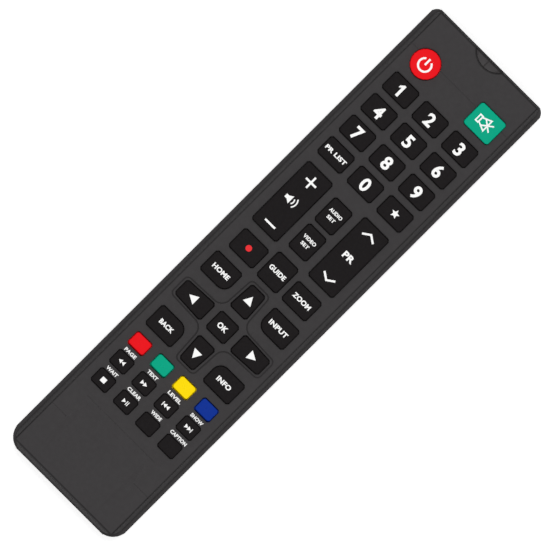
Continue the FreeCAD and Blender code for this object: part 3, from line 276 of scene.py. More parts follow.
def case_painted_shade(tree):
    """Masks of painted shade on the upper case: fine dark lines at its creases, facets, seam band, plateau
    edge and window gap, and its steep sides.
    """
    x, y, z = place(tree)
    beside = calculate(tree, "ABSOLUTE", x)
    within = calculate(tree, "LESS_THAN", beside, SIDE_CREASE + SIDE_SLOPE)
    in_dish = calculate(tree, "LESS_THAN", beside, DISH_HALF)
    past_dish = calculate(tree, "MULTIPLY", within, calculate(tree, "SUBTRACT", 1.0, in_dish))
    on_face = calculate(tree, "GREATER_THAN", z, FACE - FACE_REACH)
    window_low, window_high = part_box("ir_window")
    half_chord, depth = window_high.x, window_high.y - window_low.y
    radius = (half_chord ** 2 + depth ** 2) / (2 * depth)
    window_y = calculate(tree, "SUBTRACT", y, window_low.y + radius)
    reach = calculate(tree, "SQRT", calculate(tree, "ADD", calculate(tree, "MULTIPLY", x, x),
                                              calculate(tree, "MULTIPLY", window_y, window_y)))
    # Fine dark lines of painted shade at the creases, facet lines, plateau edge and window gap.
    lines = [
        line_at(tree, beside, SIDE_CREASE, 0.85, EDGE_LINE),
        line_at(tree, y, HEAD_CREASE, 0.85, HEAD_LINE),
        line_at(tree, y, TAIL_CREASE, 0.75, EDGE_LINE),
        calculate(tree, "MULTIPLY", within, line_at(tree, y, HEAD_FACET, 0.25, FAINT_LINE)),
        calculate(tree, "MULTIPLY", past_dish, line_at(tree, y, TAIL_FACET, 0.28, FAINT_LINE)),
        calculate(tree, "MULTIPLY", in_dish, line_at(tree, y, DISH_START, 0.22, FAINT_LINE)),
        line_at(tree, z, FACE + PLATEAU_HEIGHT / 2, 0.45, PLATEAU_HEIGHT / 3),
        line_at(tree, reach, radius + WINDOW_GAP, 0.7),
    ]
    strongest = lines[0]
    for line in lines[1:]:
        strongest = calculate(tree, "MAXIMUM", strongest, line)
    # The lines count only on the face. A painted shade line also runs along the seam band.
    shade_and_groove_lines = calculate(tree, "MAXIMUM", calculate(tree, "MULTIPLY", on_face, strongest),
                        line_at(tree, z, BAND_MIDDLE, 0.25, BAND_LINE))
    # Steep sides and tail bevel, painted darker as shade.
    past_side = calculate(tree, "GREATER_THAN", beside, SIDE_CREASE)
    past_tail = calculate(tree, "LESS_THAN", y, TAIL_BEVEL)
    return shade_and_groove_lines, calculate(tree, "MAXIMUM", past_side, past_tail)


def window_painted_shade(tree):
    """Masks of painted shade on the window: fine dark lines down the ridge in its middle and along its head
    crease, and its steep end.
    """
    x, y, _ = place(tree)
    # Painted shade: fine dark lines down the middle and along the head crease.
    shade_and_groove_lines = calculate(tree, "MAXIMUM", line_at(tree, x, 0.0, 0.4, RIDGE_LINE),
                        line_at(tree, y, HEAD_CREASE, 0.85, HEAD_WINDOW_LINE))
    return shade_and_groove_lines, calculate(tree, "GREATER_THAN", y, HEAD_CREASE)


def silicone(name, colour):
    """Silicone rubber of a key: fine matt skin with a soft sheen."""
    material = moulded(name, colour, 0.5, 0.12 * MM, 0.004 * MM, gloss=0.04)
    shader = material.node_tree.nodes["Principled BSDF"]
    shader.inputs["Sheen Weight"].default_value = 0.01
    shader.inputs["Sheen Roughness"].default_value = 0.4
    return material


def ink(name, colour):
    """Screen-printed ink with a faint mottle."""
    material, tree, shader = new_material(name, 0.2)
    mottle = noise(tree, 0.3 * MM, 3)
    feed(tree, mixed(tree, mottle, shade(colour, 0.96), colour), shader.inputs["Base Color"])
    feed(tree, spread(tree, mottle, 0.5, 0.6), shader.inputs["Roughness"])
    return material


def metal(name, colour, roughness):
    """Plated or drawn metal with fine streaks."""
    material, tree, shader = new_material(name)
    shader.inputs["Metallic"].default_value = 1.0
    streaks = noise(tree, STREAK, 4)
    feed(tree, mixed(tree, streaks, shade(colour, 0.85), shade(colour, 1.05)), shader.inputs["Base Color"])
    feed(tree, spread(tree, streaks, roughness - 0.06, roughness + 0.1), shader.inputs["Roughness"])
    feed(tree, bump(tree, noise(tree, STREAK / 3), 0.002 * MM), shader.inputs["Normal"])
    return material


def cell_material(node, towards_head):
    """Sleeve of a cell with a pale band at its positive end, and bare steel at both ends."""
    low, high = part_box(node)
    bare, band = 1.3 * MM, 9 * MM
    material, tree, shader = new_material(node + "_sleeve")
    along = place(tree)["Y"]
    scratches = noise(tree, 0.6 * MM, 4)
    sleeve = mixed(tree, scratches, srgb(38, 66, 96), srgb(48, 78, 110))
    if towards_head:
        in_band = calculate(tree, "GREATER_THAN", along, high.y - band)
    else:
        in_band = calculate(tree, "LESS_THAN", along, low.y + band)
    printed_sleeve = mixed(tree, in_band, sleeve, srgb(206, 208, 205))
    from_middle = calculate(tree, "ABSOLUTE", calculate(tree, "SUBTRACT", along, (low.y + high.y) / 2))
    at_end = calculate(tree, "GREATER_THAN", from_middle, (high.y - low.y) / 2 - bare)
    feed(tree, mixed(tree, at_end, printed_sleeve, srgb(190, 190, 188)), shader.inputs["Base Color"])
    feed(tree, at_end, shader.inputs["Metallic"])
    feed(tree, spread(tree, scratches, 0.28, 0.4), shader.inputs["Roughness"])
    feed(tree, bump(tree, scratches, 0.003 * MM), shader.inputs["Normal"])
    return material


def board_material():
    """Green solder resist over copper tracks, with the weave of the laminate."""
    material, tree, shader = new_material("solder_resist")
    coordinates = tree.nodes.new("ShaderNodeTexCoord")
    tracks = tree.nodes.new("ShaderNodeTexBrick")
    tracks.inputs["Scale"].default_value = 1 / (6 * MM)
    tracks.inputs["Mortar Size"].default_value = 0.06
    tree.links.new(coordinates.outputs["Object"], tracks.inputs["Vector"])
    weave = noise(tree, 0.4 * MM)
    resist = mixed(tree, weave, srgb(22, 84, 48), srgb(28, 96, 56))
    feed(tree, mixed(tree, tracks.outputs["Fac"], resist, srgb(58, 128, 74)), shader.inputs["Base Color"])
    feed(tree, spread(tree, weave, 0.25, 0.35), shader.inputs["Roughness"])
    feed(tree, bump(tree, tracks.outputs["Fac"], 0.03 * MM), shader.inputs["Normal"])
    return material


FACE_PLASTIC = moulded("case_face", srgb(57, 55, 56), 0.7, 0.22 * MM, 0.012 * MM, lines=case_painted_shade)
BACK_PLASTIC = moulded("case_back", srgb(58, 56, 57), 0.7, 0.22 * MM, 0.012 * MM)
WINDOW_PLASTIC = moulded("window_filter", srgb(47, 44, 45), 0.45, 0.6 * MM, 0.002 * MM, variation=0.03,
                         lines=window_painted_shade)
BLACK_KEY = silicone("key_black", srgb(24, 21, 22))
RED_KEY = silicone("key_red", srgb(234, 16, 26))
GREEN_KEY = silicone("key_green", srgb(0, 164, 130))
YELLOW_KEY = silicone("key_yellow", srgb(252, 219, 0))
BLUE_KEY = silicone("key_blue", srgb(8, 48, 146))
WHITE_INK = ink("ink_white", srgb(254, 254, 253))
RED_INK = ink("ink_red", srgb(236, 28, 36))
CHIP_PLASTIC = moulded("chip_epoxy", srgb(36, 36, 38), 0.55, 0.1 * MM, 0.004 * MM)
LED_RESIN = moulded("led_resin", srgb(58, 34, 78), 0.12, 0.5 * MM, 0.001 * MM, 0.5, 0.03)
WEB_RUBBER = moulded("web_silicone", srgb(86, 86, 88), 0.6, 0.15 * MM, 0.005 * MM)
STEEL = metal("plated_steel", srgb(196, 194, 188), 0.25)
SCREW_STEEL = metal("screw_zinc", srgb(168, 170, 172), 0.35)
CAN_METAL = metal("drawn_can", srgb(186, 188, 190), 0.3)


# Meshes

# Signs of the corners of a plan, counter-clockwise from the lower left.
SIGNS = [(-1, -1), (1, -1), (1, 1), (-1, 1)]


def outline(corners, inset=0.0):
    """Closed outline with rounded corners (x, y, radius), counter-clockwise, moved inwards by inset."""
    points = []
    for index, (x, y, radius) in enumerate(corners):
        corner = Vector((x, y))
        before = corner - Vector(corners[index - 1][:2])
        after = Vector(corners[(index + 1) % len(corners)][:2]) - corner
        inward_before, inward_after = (Vector((-way.y, way.x)).normalized() for way in (before, after))
        rounding = max(radius - inset, LEAST_RADIUS)
        away = (inward_before + inward_after) / (1 + inward_before.dot(inward_after))
        centre = corner + away * (inset + rounding)
        start = math.atan2(-inward_before.y, -inward_before.x)
        turn = math.acos(max(-1.0, min(1.0, inward_before.dot(inward_after))))
        for step in range(CAP_STEPS + 1):
            angle = start + turn * step / CAP_STEPS
            points.append(centre + rounding * Vector((math.cos(angle), math.sin(angle))))
    return points


def block(half_x, half_y, radius, x=0.0, y=0.0):
    """Corners of a rounded rectangle."""
    return [(x - half_x, y - half_y, radius), (x + half_x, y - half_y, radius),
            (x + half_x, y + half_y, radius), (x - half_x, y + half_y, radius)]


def add_loft(mesh, rings, crown_tip=False):
    """Closed skin through rings of points that have the same length; a crowned one ends in a point."""
    rows = [[mesh.verts.new(point) for point in ring] for ring in rings]
    count = len(rows[0])
    for lower, upper in zip(rows, rows[1:]):
        for index in range(count):
            after = (index + 1) % count
            mesh.faces.new((lower[index], lower[after], upper[after], upper[index]))
    mesh.faces.new(rows[0][::-1])
    if crown_tip:
        middle = sum((vertex.co for vertex in rows[-1]), Vector()) / count
        tip = mesh.verts.new((middle.x, middle.y, max(vertex.co.z for vertex in rows[-1])))
        for index in range(count):
            mesh.faces.new((rows[-1][index], rows[-1][(index + 1) % count], tip))
    else:
        mesh.faces.new(rows[-1])


def finished(mesh, name, material, body, sharp=SHARP_ANGLE):
    """Object of a mesh, smoothly shaded between edges sharper than an angle in degrees, riding on a body."""
    for edge in mesh.edges:
        edge.smooth = edge.calc_face_angle(0.0) <= math.radians(sharp)
    data = bpy.data.meshes.new(name)
    mesh.to_mesh(data)
    mesh.free()
    data.materials.append(material)
    piece = bpy.data.objects.new(name, data)
    bpy.context.scene.collection.objects.link(piece)
    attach(piece, body)
    return piece


def smooth(mesh):
    """Turn every face outwards and shade it smoothly."""
    bmesh.ops.recalc_face_normals(mesh, faces=mesh.faces)
    for face in mesh.faces:
        face.smooth = True


def softened(node, material, width, body="case", flat=0.9999):
    """Moulding of a solid with rounded edges. Broad faces, and those as level as flat says, stay flat."""
    low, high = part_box(node)
    mesh = bmesh.new()
    mesh.from_mesh(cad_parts[node].data)
    bmesh.ops.remove_doubles(mesh, verts=mesh.verts, dist=MERGE_DISTANCE)
    bmesh.ops.dissolve_limit(mesh, angle_limit=math.radians(LEVEL_ANGLE), verts=mesh.verts,
                             edges=mesh.edges, delimit={"NORMAL"})
    bmesh.ops.connect_verts_concave(mesh, faces=mesh.faces)  # no face spans the opening that it surrounds
    sharp = [edge for edge in mesh.edges if len(edge.link_faces) == 2
             and edge.calc_face_angle() > math.radians(BEVELLED_ANGLE) and edge.calc_length() > 2 * width]
    bmesh.ops.bevel(mesh, geom=sharp, offset=width, segments=2, profile=0.5, affect="EDGES",
                    clamp_overlap=False)
    bmesh.ops.dissolve_degenerate(mesh, edges=mesh.edges, dist=SLIVER)
    for vertex in mesh.verts:
        vertex.co = [min(max(value, least), most) for value, least, most in zip(vertex.co, low, high)]
    bmesh.ops.delete(mesh, geom=[edge for edge in mesh.edges if not edge.link_faces], context="EDGES")
    bmesh.ops.delete(mesh, geom=[vertex for vertex in mesh.verts if not vertex.link_faces], context="VERTS")
    bmesh.ops.holes_fill(mesh, edges=[edge for edge in mesh.edges if edge.is_boundary])
    smooth(mesh)
    for face in mesh.faces:
        face.smooth = abs(face.normal.z) < flat and face.calc_area() < BROAD_FACE
    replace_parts(finished(mesh, node + "_moulding", material, body), node)


def sprung_contact(node, cell, side):
    """Contact plate with a coil spring for the solid's cone. The side, 1 or -1, is the way to the cell."""
    low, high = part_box(node)
    axis = (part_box(cell)[0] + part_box(cell)[1]) / 2
    plate, tip = (low.y + PLATE_THICKNESS, high.y) if side > 0 else (high.y - PLATE_THICKNESS, low.y)
    mesh = bmesh.new()
    mesh.from_mesh(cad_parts[node].data)
    bmesh.ops.remove_doubles(mesh, verts=mesh.verts, dist=MERGE_DISTANCE)
    cone = [vertex for vertex in mesh.verts if (vertex.co.y - plate) * side > PLATE_MARGIN]
    bmesh.ops.delete(mesh, geom=cone, context="VERTS")
    bmesh.ops.holes_fill(mesh, edges=[edge for edge in mesh.edges if edge.is_boundary])
    rise = tip - side * WIRE_RADIUS - plate
    rings = []
    for step in range(SPRING_TURNS * SPRING_STEPS + 1):
        share = step / (SPRING_TURNS * SPRING_STEPS)
        turn = 2 * math.pi * SPRING_TURNS * share
        out = Vector((math.cos(turn), 0, math.sin(turn)))
        radius = SPRING_BASE + (SPRING_TIP - SPRING_BASE) * share - WIRE_RADIUS
        middle = Vector((axis.x, plate + rise * min(share / SPRING_CLIMB, 1.0), axis.z)) + out * radius
        rings.append([middle + WIRE_RADIUS * (out * math.cos(angle) + Vector((0, math.sin(angle), 0)))
                      for angle in (2 * math.pi * index / WIRE_SIDES for index in range(WIRE_SIDES))])
    add_loft(mesh, rings)
    smooth(mesh)
    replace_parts(finished(mesh, node + "_spring", STEEL, "case"), node)


def level(points, height):
    """Flat points lifted to a height."""
    return [Vector((point.x, point.y, height)) for point in points]


class Cap:
    """Plan and top of one key, whose ink stays within the key's height."""

    def __init__(self, node, corners=None, edge=CAP_EDGE, radius=KEY_CORNER, foot_y=FOOT_WIDTH,
                 growth=CAP_GROWTH, tail_gap=0.0):
        self.node = node
        self.body = node + "_body"
        self.low, self.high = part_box(node)
        self.top = self.high.z - INK_RISE
        self.growth = growth
        self.middle = (self.low + self.high) / 2 + Vector((0, tail_gap / 2, 0))
        self.half_x = (self.high.x - self.low.x) / 2 - FOOT_WIDTH + growth
        self.half_y = (self.high.y - self.low.y - tail_gap) / 2 - foot_y + growth
        self.edge = edge
        if corners:
            self.corners = [(self.middle.x + x * self.half_x, self.middle.y + y * self.half_y, r)
                            for x, y, r in corners]
        else:
            self.corners = block(self.half_x, self.half_y, radius, self.middle.x, self.middle.y)

    def surface(self, x, y):
        """Height of the crowned top."""
        share = max(abs(x - self.middle.x) / self.half_x, abs(y - self.middle.y) / self.half_y)
        return self.top - CAP_CROWN * min(share, 1.0) ** 2

    def rings(self, start):
        """Rings of the side, the rounded edge and the crowned top."""
        shoulder = self.top - CAP_CROWN - self.edge
        rings = [level(outline(self.corners), start), level(outline(self.corners, CAP_TAPER), shoulder)]
        for step in range(1, CAP_STEPS + 1):
            angle = math.radians(90 * step / CAP_STEPS)
            rings.append(level(outline(self.corners, CAP_TAPER + self.edge * (1 - math.cos(angle))),
                               shoulder + self.edge * math.sin(angle)))
        rim = rings[-1]
        for share in CROWN_RINGS:
            rings.append([Vector((self.middle.x + (point.x - self.middle.x) * share,
                                  self.middle.y + (point.y - self.middle.y) * share,
                                  self.top - CAP_CROWN * share ** 2)) for point in rim])
        return rings


def make_key(cap, material, stud_half=STUD_HALF):
    """Key cap with the foot that keeps it in the case and its contact stud."""
    mesh = bmesh.new()
    stud = outline(block(stud_half, stud_half, STUD_CORNER, cap.middle.x, cap.middle.y))
    foot = outline(cap.corners, cap.growth - FOOT_WIDTH)
    rings = [level(stud, cap.low.z), level(stud, FOOT_BOTTOM),
             level(foot, FOOT_BOTTOM), level(foot, FOOT_BOTTOM + FOOT_THICKNESS)]
    add_loft(mesh, rings + cap.rings(FOOT_BOTTOM + FOOT_THICKNESS), crown_tip=True)
    smooth(mesh)
    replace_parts(finished(mesh, cap.node + "_cap", material, cap.body), cap.node)


def make_rocker(cap, material):
    """Rocker with its two contact studs, side feet and the bead that it tips on."""
    mesh = bmesh.new()
    add_loft(mesh, cap.rings(FOOT_BOTTOM), crown_tip=True)
    feet = outline(block(cap.half_x + FOOT_WIDTH - CAP_GROWTH, ROCKER_FOOT_HALF, STUD_CORNER,
                         cap.middle.x, cap.middle.y))
    add_loft(mesh, [level(feet, FOOT_BOTTOM), level(feet, FOOT_BOTTOM + FOOT_THICKNESS)])
    for side in (-1, 1):
        stud = outline(block(STUD_HALF, STUD_HALF, STUD_CORNER,
                             cap.middle.x, cap.middle.y + side * ROCKER_STUD_REACH))
        add_loft(mesh, [level(stud, cap.low.z), level(stud, FOOT_BOTTOM)])
    bead_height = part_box("keypad_web")[1].z + BEAD_GAP + BEAD_RADIUS
    ends = []
    for x in (cap.middle.x - cap.half_x, cap.middle.x + cap.half_x):
        ends.append([Vector((x, cap.middle.y + BEAD_RADIUS * math.cos(math.radians(angle)),
                             bead_height + BEAD_RADIUS * math.sin(math.radians(angle))))
                     for angle in range(0, 360, 360 // BEAD_SIDES)])
    add_loft(mesh, ends)
    smooth(mesh)
    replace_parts(finished(mesh, cap.node + "_cap", material, cap.body), cap.node)


# Legends

def flat_curve(loops):
    """Filled flat curve of closed loops. A loop within another is a hole."""
    curve = bpy.data.curves.new("symbol", "CURVE")
    curve.dimensions = "2D"
    curve.fill_mode = "BOTH"
    for loop in loops:
        spline = curve.splines.new("POLY")
        spline.points.add(len(loop) - 1)
        for point, (x, y) in zip(spline.points, loop):
            point.co = (x, y, 0, 1)
        spline.use_cyclic_u = True
    return curve


def word_curve(text, cap_height, boldness):
    """Text of the given capital height, made bolder by a share of that height."""
    curve = bpy.data.curves.new("word", "FONT")
    curve.body = text
    curve.size = cap_height / CAPITAL_SHARE
    curve.offset = boldness * cap_height
    curve.space_character = LETTER_SPACING
    curve.resolution_u = 5
    return curve


def curve_mesh(curve):
    """Thick mesh of a flat curve, which is used up."""
    curve.extrude = 1 * MM
    source = bpy.data.objects.new("source", curve)
    bpy.context.scene.collection.objects.link(source)
    data = bpy.data.meshes.new_from_object(source.evaluated_get(bpy.context.evaluated_depsgraph_get()))
    bpy.data.objects.remove(source)
    bpy.data.curves.remove(curve)
    return data


def word(text, cap_height, width=None, boldness=0.055, dy=0.0):
    """Layer of text centred in plan, squeezed to a width where one is given, and moved up by dy."""
    data = curve_mesh(word_curve(text, cap_height, boldness))
    xs = [vertex.co.x for vertex in data.vertices]
    ys = [vertex.co.y for vertex in data.vertices]
    scale = width / (max(xs) - min(xs)) if width else 1.0
    for vertex in data.vertices:
        vertex.co.x = (vertex.co.x - (min(xs) + max(xs)) / 2) * scale
        vertex.co.y += dy - (min(ys) + max(ys)) / 2
    return data


def symbol(*shapes):
    """Layers of filled shapes, each of them a loop or a list of loops."""
    return [curve_mesh(flat_curve([shape] if isinstance(shape[0], tuple) else shape)) for shape in shapes]


def printed(name, layers, x, y, surface, material, body):
    """Ink layers laid on a surface about one place."""
    mesh = bmesh.new()
    done = 0
    for index, data in enumerate(layers):
        mesh.from_mesh(data)
        bpy.data.meshes.remove(data)
        mesh.verts.ensure_lookup_table()
        for vertex in mesh.verts[done:]:
            place_x, place_y = x + vertex.co.x, y + vertex.co.y
            lift = INK_RISE - index * INK_STEP if vertex.co.z > 0 else -INK_SINK
            vertex.co = (place_x, place_y, surface(place_x, place_y) + lift)
        done = len(mesh.verts)
    bmesh.ops.remove_doubles(mesh, verts=mesh.verts, dist=SLIVER)
    smooth(mesh)
    finished(mesh, name, material, body, LEGEND_SHARP_ANGLE)


def on_key(name, cap, layers, dx=0.0, dy=0.0, material=WHITE_INK):
    """Legend printed on a key, off its middle by dx and dy."""
    printed(name, layers, cap.middle.x + dx, cap.middle.y + dy, cap.surface, material, cap.body)


def in_mm(points):
    """Points given in millimetres."""
    return [(x * MM, y * MM) for x, y in points]


def ring_points(radius, start=0.0, end=360.0, steps=32, x=0.0):
    """Points on an arc round a place on the x axis, in degrees."""
    angles = [math.radians(start + (end - start) * step / steps) for step in range(steps + 1)]
    return [(x + radius * math.cos(angle), radius * math.sin(angle)) for angle in angles]


def arc_band(radius, width, start, end, steps=32, x=0.0):
    """Loop round a band along an arc."""
    return (ring_points(radius + width / 2, start, end, steps, x)
            + ring_points(radius - width / 2, start, end, steps, x)[::-1])


def bar(x, y, half_x, half_y):
    """Loop of an upright rectangle."""
    return [(x + side_x * half_x, y + side_y * half_y) for side_x, side_y in SIGNS]


def mitred_sides(points, width, closed):
    """Both sides of a mitred line through points, which may close on itself."""
    sides = ([], [])
    for index, point in enumerate(points):
        here = Vector(point)
        ways = []
        if closed or index > 0:
            ways.append((here - Vector(points[index - 1])).normalized())
        if closed or index < len(points) - 1:
            ways.append((Vector(points[(index + 1) % len(points)]) - here).normalized())
        normals = [Vector((-way.y, way.x)) for way in ways]
        stretch = 1 + normals[0].dot(normals[1]) if len(normals) == 2 else 1
        miter = sum(normals, Vector((0, 0))) / stretch
        sides[0].append(tuple(here + miter * width / 2))
        sides[1].append(tuple(here - miter * width / 2))
    return sides


def path_band(points, width):
    """Loop round a mitred line through points."""
    left, right = mitred_sides(points, width, closed=False)
    return right + left[::-1]


def frame_band(points, width):
    """Loops of a mitred line that closes on itself."""
    return list(mitred_sides(points, width, closed=True))


def triangle(half_base, height, direction, x=0.0):
    """Loop of a triangle on the x axis that points along a direction in degrees."""
    turn = math.radians(direction)
    local = [(-height / 2, -half_base), (height / 2, 0.0), (-height / 2, half_base)]
    return [(x + px * math.cos(turn) - py * math.sin(turn), px * math.sin(turn) + py * math.cos(turn))
            for px, py in local]


def star(radius, points=5, inner=0.45):
    """Loop of a star with a point at the top."""
    loop = []
    for step in range(2 * points):
        reach = radius if step % 2 == 0 else radius * inner
        angle = math.radians(90 + 180 * step / points)
        loop.append((reach * math.cos(angle), reach * math.sin(angle)))
    return loop


# Case and inner pieces

softened("upper_case", FACE_PLASTIC, 0.06 * MM, flat=0.985)
softened("lower_case", BACK_PLASTIC, 0.15 * MM)
softened("battery_cover", BACK_PLASTIC, 0.12 * MM, body="cover")
softened("ir_window", WINDOW_PLASTIC, 0.08 * MM, flat=0.985)
sprung_contact("contact_negative", "battery_right", -1)
sprung_contact("contact_bridge", "battery_left", 1)
INNER_MATERIALS = {
    "circuit_board": board_material(), "keypad_web": WEB_RUBBER, "contact_positive": STEEL,
    "case_screw": SCREW_STEEL, "ir_led": LED_RESIN, "controller_chip": CHIP_PLASTIC, "resonator": CAN_METAL,
    "capacitor": CAN_METAL, "chip_resistors": CHIP_PLASTIC,
    "battery_left": cell_material("battery_left", True),
    "battery_right": cell_material("battery_right", False),
}
for node, material in INNER_MATERIALS.items():
    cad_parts[node].data.materials.clear()
    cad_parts[node].data.materials.append(material)

# Keys

CURVED_CORNERS = {"key_menu": 1, "key_input": 0, "key_exit": 2, "key_info": 3}
NARROW_CORNERS = {"key_up": (2, 3), "key_down": (0, 1), "key_left": (0, 3), "key_right": (1, 2)}
KEY_COLOURS = {"key_power": RED_KEY, "key_mute": GREEN_KEY, "key_red": RED_KEY, "key_green": GREEN_KEY,
               "key_yellow": YELLOW_KEY, "key_blue": BLUE_KEY}
COLOUR_ROW = ["key_red", "key_green", "key_yellow", "key_blue"]
SMALL_KEYS = ["key_rewind", "key_forward", "key_previous", "key_next", "key_stop", "key_play", "key_text",
              "key_subtitle"]


def cap_of(node):
    """Plan of a key, by its node's name."""
    if node == "key_power":
        return Cap(node, radius=(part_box(node)[1].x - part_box(node)[0].x) / 2 - FOOT_WIDTH + CAP_GROWTH)
    if node.startswith("rocker"):
        return Cap(node, foot_y=0.0)
    if node in CURVED_CORNERS:
        return Cap(node, [(x, y, CURVED_CORNER if index == CURVED_CORNERS[node] else KEY_CORNER)
                          for index, (x, y) in enumerate(SIGNS)])
    if node in NARROW_CORNERS:
        along = node in ("key_up", "key_down")
        corners = []
        for index, (x, y) in enumerate(SIGNS):
            share = ARROW_OUTER_SHARE if index in NARROW_CORNERS[node] else 1.0
            corners.append((x * share, y, KEY_CORNER) if along else (x, y * share, KEY_CORNER))
        return Cap(node, corners)
    if node in COLOUR_ROW:
        return Cap(node, edge=SMALL_CAP_EDGE, radius=SMALL_CORNER, growth=COLOUR_GROWTH,
                   tail_gap=COLOUR_TAIL_GAP)
    if node in SMALL_KEYS:
        return Cap(node, edge=SMALL_CAP_EDGE, radius=SMALL_CORNER)
    return Cap(node)


caps = {node: cap_of(node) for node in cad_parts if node.startswith(("key_", "rocker_"))}
for node, cap in caps.items():
    material = KEY_COLOURS.get(node, BLACK_KEY)
    if node.startswith("rocker"):
        make_rocker(cap, material)
    else:
        make_key(cap, material, SMALL_STUD_HALF if cap.edge == SMALL_CAP_EDGE else STUD_HALF)

# Legends on the keys

DIGIT_HEIGHT = 4.1 * MM
DIGIT_DROP = -0.15 * MM
SMALL_HEIGHT = 1.1 * MM
for digit in "234567890":
    on_key(f"legend_{digit}", caps[f"key_{digit}"], [word(digit, DIGIT_HEIGHT, boldness=0.045)],
           dy=DIGIT_DROP)
one = [(0.6, -2.05), (0.6, 2.05), (0.0, 2.05), (-1.1, 1.15), (-1.1, 0.35), (-0.3, 0.85), (-0.3, -2.05)]
on_key("legend_1", caps["key_1"], symbol(in_mm(one)), dy=DIGIT_DROP)
for node, text, cap_height, width in (("key_menu", "HOME", 1.5, 6.5), ("key_exit", "BACK", 1.5, 5.3),
                                      ("key_input", "INPUT", 1.5, 7.2), ("key_info", "INFO", 1.5, 5.4),
                                      ("key_guide", "GUIDE", 1.5, 6.2), ("key_zoom", "ZOOM", 1.5, 6.8),
                                      ("key_ok", "OK", 1.7, 3.6), ("key_list", "PR LIST", 1.35, 8.2)):
    on_key(node.replace("key", "legend"), caps[node], [word(text, cap_height * MM, width * MM)])
for node, first in (("key_sound", "AUDIO"), ("key_picture", "VIDEO")):
    on_key(node.replace("key", "legend"), caps[node],
           [word(first, SMALL_HEIGHT, 4.9 * MM, dy=1.0 * MM),
            word("SET", SMALL_HEIGHT, 3.0 * MM, dy=-1.1 * MM)])

on_key("legend_favourite", caps["key_favourite"], symbol(star(1.5 * MM)))
on_key("legend_power", caps["key_power"],
       symbol(arc_band(2.05 * MM, 0.62 * MM, 122, 418), bar(0, 1.2 * MM, 0.31 * MM, 1.2 * MM)), dy=-0.3 * MM)
on_key("legend_record", caps["key_record"], symbol(ring_points(1.0 * MM)[:-1]), material=RED_INK)

volume, channel = caps["rocker_volume"], caps["rocker_channel"]
stroke, arm = 0.32 * MM, 2.1 * MM
on_key("legend_volume_up", volume, symbol(bar(0, 0, arm, stroke), bar(0, 0, stroke, arm)), dy=7.9 * MM)
on_key("legend_volume_down", volume, symbol(bar(0, 0, arm, stroke)), dy=-9.5 * MM)
sound_waves = [arc_band(radius, 0.4 * MM, -42, 42, 12, -0.9 * MM) for radius in (1.3 * MM, 2.35 * MM)]
on_key("legend_volume", volume,
       symbol(bar(-2.35 * MM, 0, 0.45 * MM, 0.6 * MM),
              in_mm([(-1.9, -0.6), (-0.6, -1.45), (-0.6, 1.45), (-1.9, 0.6)]), *sound_waves))
chevron = [(-2.3, -0.85), (0, 0.75), (2.3, -0.85)]
on_key("legend_channel_up", channel, symbol(path_band(in_mm(chevron), 2 * stroke)), dy=8.85 * MM)
on_key("legend_channel_down", channel, symbol(path_band(in_mm([(x, -y) for x, y in chevron]), 2 * stroke)),
       dy=-8.8 * MM)
on_key("legend_channel", channel, [word("PR", 2.1 * MM, 4.0 * MM)])

for node, direction, dx, dy in (("key_up", 90, 0.0, 0.65), ("key_left", 180, -0.75, 0.0),
                                ("key_down", 270, 0.0, -0.65), ("key_right", 0, 0.75, 0.0)):
    on_key(node.replace("key", "legend"), caps[node], symbol(triangle(1.55 * MM, 2.8 * MM, direction)),
           dx * MM, dy * MM)

arrow, half = 1.15 * MM, 0.72 * MM
media = {
    "key_rewind": [triangle(half, arrow, 180, -0.6 * MM), triangle(half, arrow, 180, 0.55 * MM)],
    "key_forward": [triangle(half, arrow, 0, -0.55 * MM), triangle(half, arrow, 0, 0.6 * MM)],
    "key_previous": [bar(-1.25 * MM, 0, 0.14 * MM, half), triangle(half, arrow, 180, -0.5 * MM),
                     triangle(half, arrow, 180, 0.65 * MM)],
    "key_next": [bar(1.25 * MM, 0, 0.14 * MM, half), triangle(half, arrow, 0, 0.5 * MM),
                 triangle(half, arrow, 0, -0.65 * MM)],
    "key_stop": [bar(0, 0, 0.85 * MM, 0.8 * MM)],
    "key_play": [triangle(half, 1.1 * MM, 0, -0.55 * MM), bar(0.35 * MM, 0, 0.13 * MM, half),
                 bar(0.9 * MM, 0, 0.13 * MM, half)],
}
for node, loops in media.items():
    on_key(node.replace("key", "legend"), caps[node], symbol(*loops))

speaker_box = [(-2.8, -1.15), (-1.8, -1.15), (-1.8, 1.15), (-2.8, 1.15)]
speaker_cone = [(-1.8, -0.75), (1.1, -2.0), (1.1, 2.0), (-1.8, 0.75)]
speaker_cross = [[(-0.6, 1.25), (2.7, -1.25)], [(-0.6, -1.25), (2.7, 1.25)]]
mute_stroke = 0.44 * MM
mute_lines = [frame_band(in_mm(line), mute_stroke) for line in (speaker_box, speaker_cone)]
mute_lines += [path_band(in_mm(line), mute_stroke) for line in speaker_cross]
on_key("legend_mute", caps["key_mute"], symbol(*mute_lines))

# Labels on the case above the small keys

LABEL_RISE = 3.65 * MM
LABELS = [[("PAGE", 4.4), ("TEXT", 4.0), ("LEVEL", 5.2), ("SHOW", 4.8)],
          [("WAIT", 4.4), ("CLEAR", 5.2), ("WIDE", 4.0), ("CAPTION", 6.4)]]
for row, labels in enumerate(LABELS):
    for column, (label, width) in enumerate(labels):
        below = caps[SMALL_KEYS[4 * row + column]]
        printed(f"label_{label.lower()}", [word(label, SMALL_HEIGHT, width * MM)], below.middle.x,
                below.middle.y + LABEL_RISE, lambda x, y: FACE, WHITE_INK, "case")

# Floor, lights and camera

FRAME_WIDTH = 165.55 * MM
CAMERA_DISTANCE = 6.0
CAMERA_TURN = math.radians(45)
CAMERA_REACH = 20
SENSOR = 36.0
FLOOR_REACH = 3.0
FLOOR_LIFT = 0.42
FLOOR_GAP = 0.05 * MM
FLOOR_TONE = (0.985, 0.985, 0.985, 1.0)
WORLD_STRENGTH = 0.26
SOFTBOX_SIZE = 0.75

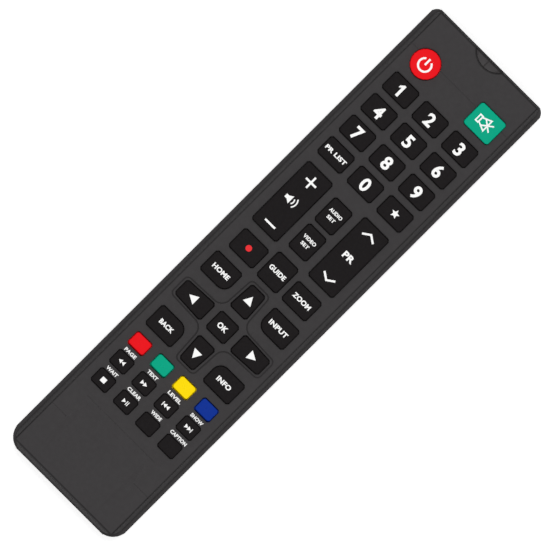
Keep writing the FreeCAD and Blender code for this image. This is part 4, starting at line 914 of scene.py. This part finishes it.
floor_mesh = bmesh.new()
bmesh.ops.create_grid(floor_mesh, x_segments=1, y_segments=1, size=FLOOR_REACH)
floor_data = bpy.data.meshes.new("floor")
floor_mesh.to_mesh(floor_data)
floor_mesh.free()
floor = bpy.data.objects.new("floor", floor_data)
bpy.context.scene.collection.objects.link(floor)
floor_material, floor_tree, floor_shader = new_material("floor_paint", 0.1)
feed(floor_tree, mixed(floor_tree, noise(floor_tree, 0.2), FLOOR_TONE, WHITE),
     floor_shader.inputs["Base Color"])
floor_shader.inputs["Roughness"].default_value = 0.9
rays = floor_tree.nodes.new("ShaderNodeLightPath").outputs
seen = calculate(floor_tree, "MAXIMUM", rays["Is Camera Ray"],
                 calculate(floor_tree, "MAXIMUM", rays["Is Glossy Ray"], rays["Is Transmission Ray"]))
feed(floor_tree, calculate(floor_tree, "MULTIPLY", seen, FLOOR_LIFT),
     floor_shader.inputs["Emission Strength"])
floor_shader.inputs["Emission Color"].default_value = WHITE
floor_data.materials.append(floor_material)
floor.location.z = -FLOOR_GAP

world = bpy.data.worlds.new("studio")
bpy.context.scene.world = world
world.use_nodes = True
background = world.node_tree.nodes["Background"]
background.inputs["Color"].default_value = WHITE
background.inputs["Strength"].default_value = WORLD_STRENGTH


def softbox(name, position, power):
    """Square studio light aimed at the middle of the remote."""
    light = bpy.data.lights.new(name, "AREA")
    light.shape = "SQUARE"
    light.size = SOFTBOX_SIZE
    light.energy = power
    lamp = bpy.data.objects.new(name, light)
    lamp.location = position
    lamp.rotation_euler = (Vector((0, 0, 0)) - Vector(position)).to_track_quat("-Z", "Y").to_euler()
    bpy.context.scene.collection.objects.link(lamp)


softbox("softbox_head", (-0.25, 0.5, 2.0), 17.6)
softbox("softbox_tail", (0.3, -0.5, 2.0), 15.5)

camera_data = bpy.data.cameras.new("camera")
camera_data.sensor_width = SENSOR
camera_data.lens = SENSOR * CAMERA_DISTANCE / FRAME_WIDTH
camera_data.clip_end = CAMERA_REACH
camera = bpy.data.objects.new("camera", camera_data)
camera.location = (0, 0, SEAM + CAMERA_DISTANCE)
camera.rotation_euler = (0, 0, CAMERA_TURN)
bpy.context.scene.collection.objects.link(camera)
bpy.context.scene.camera = camera
bpy.context.scene.view_settings.view_transform = "Standard"
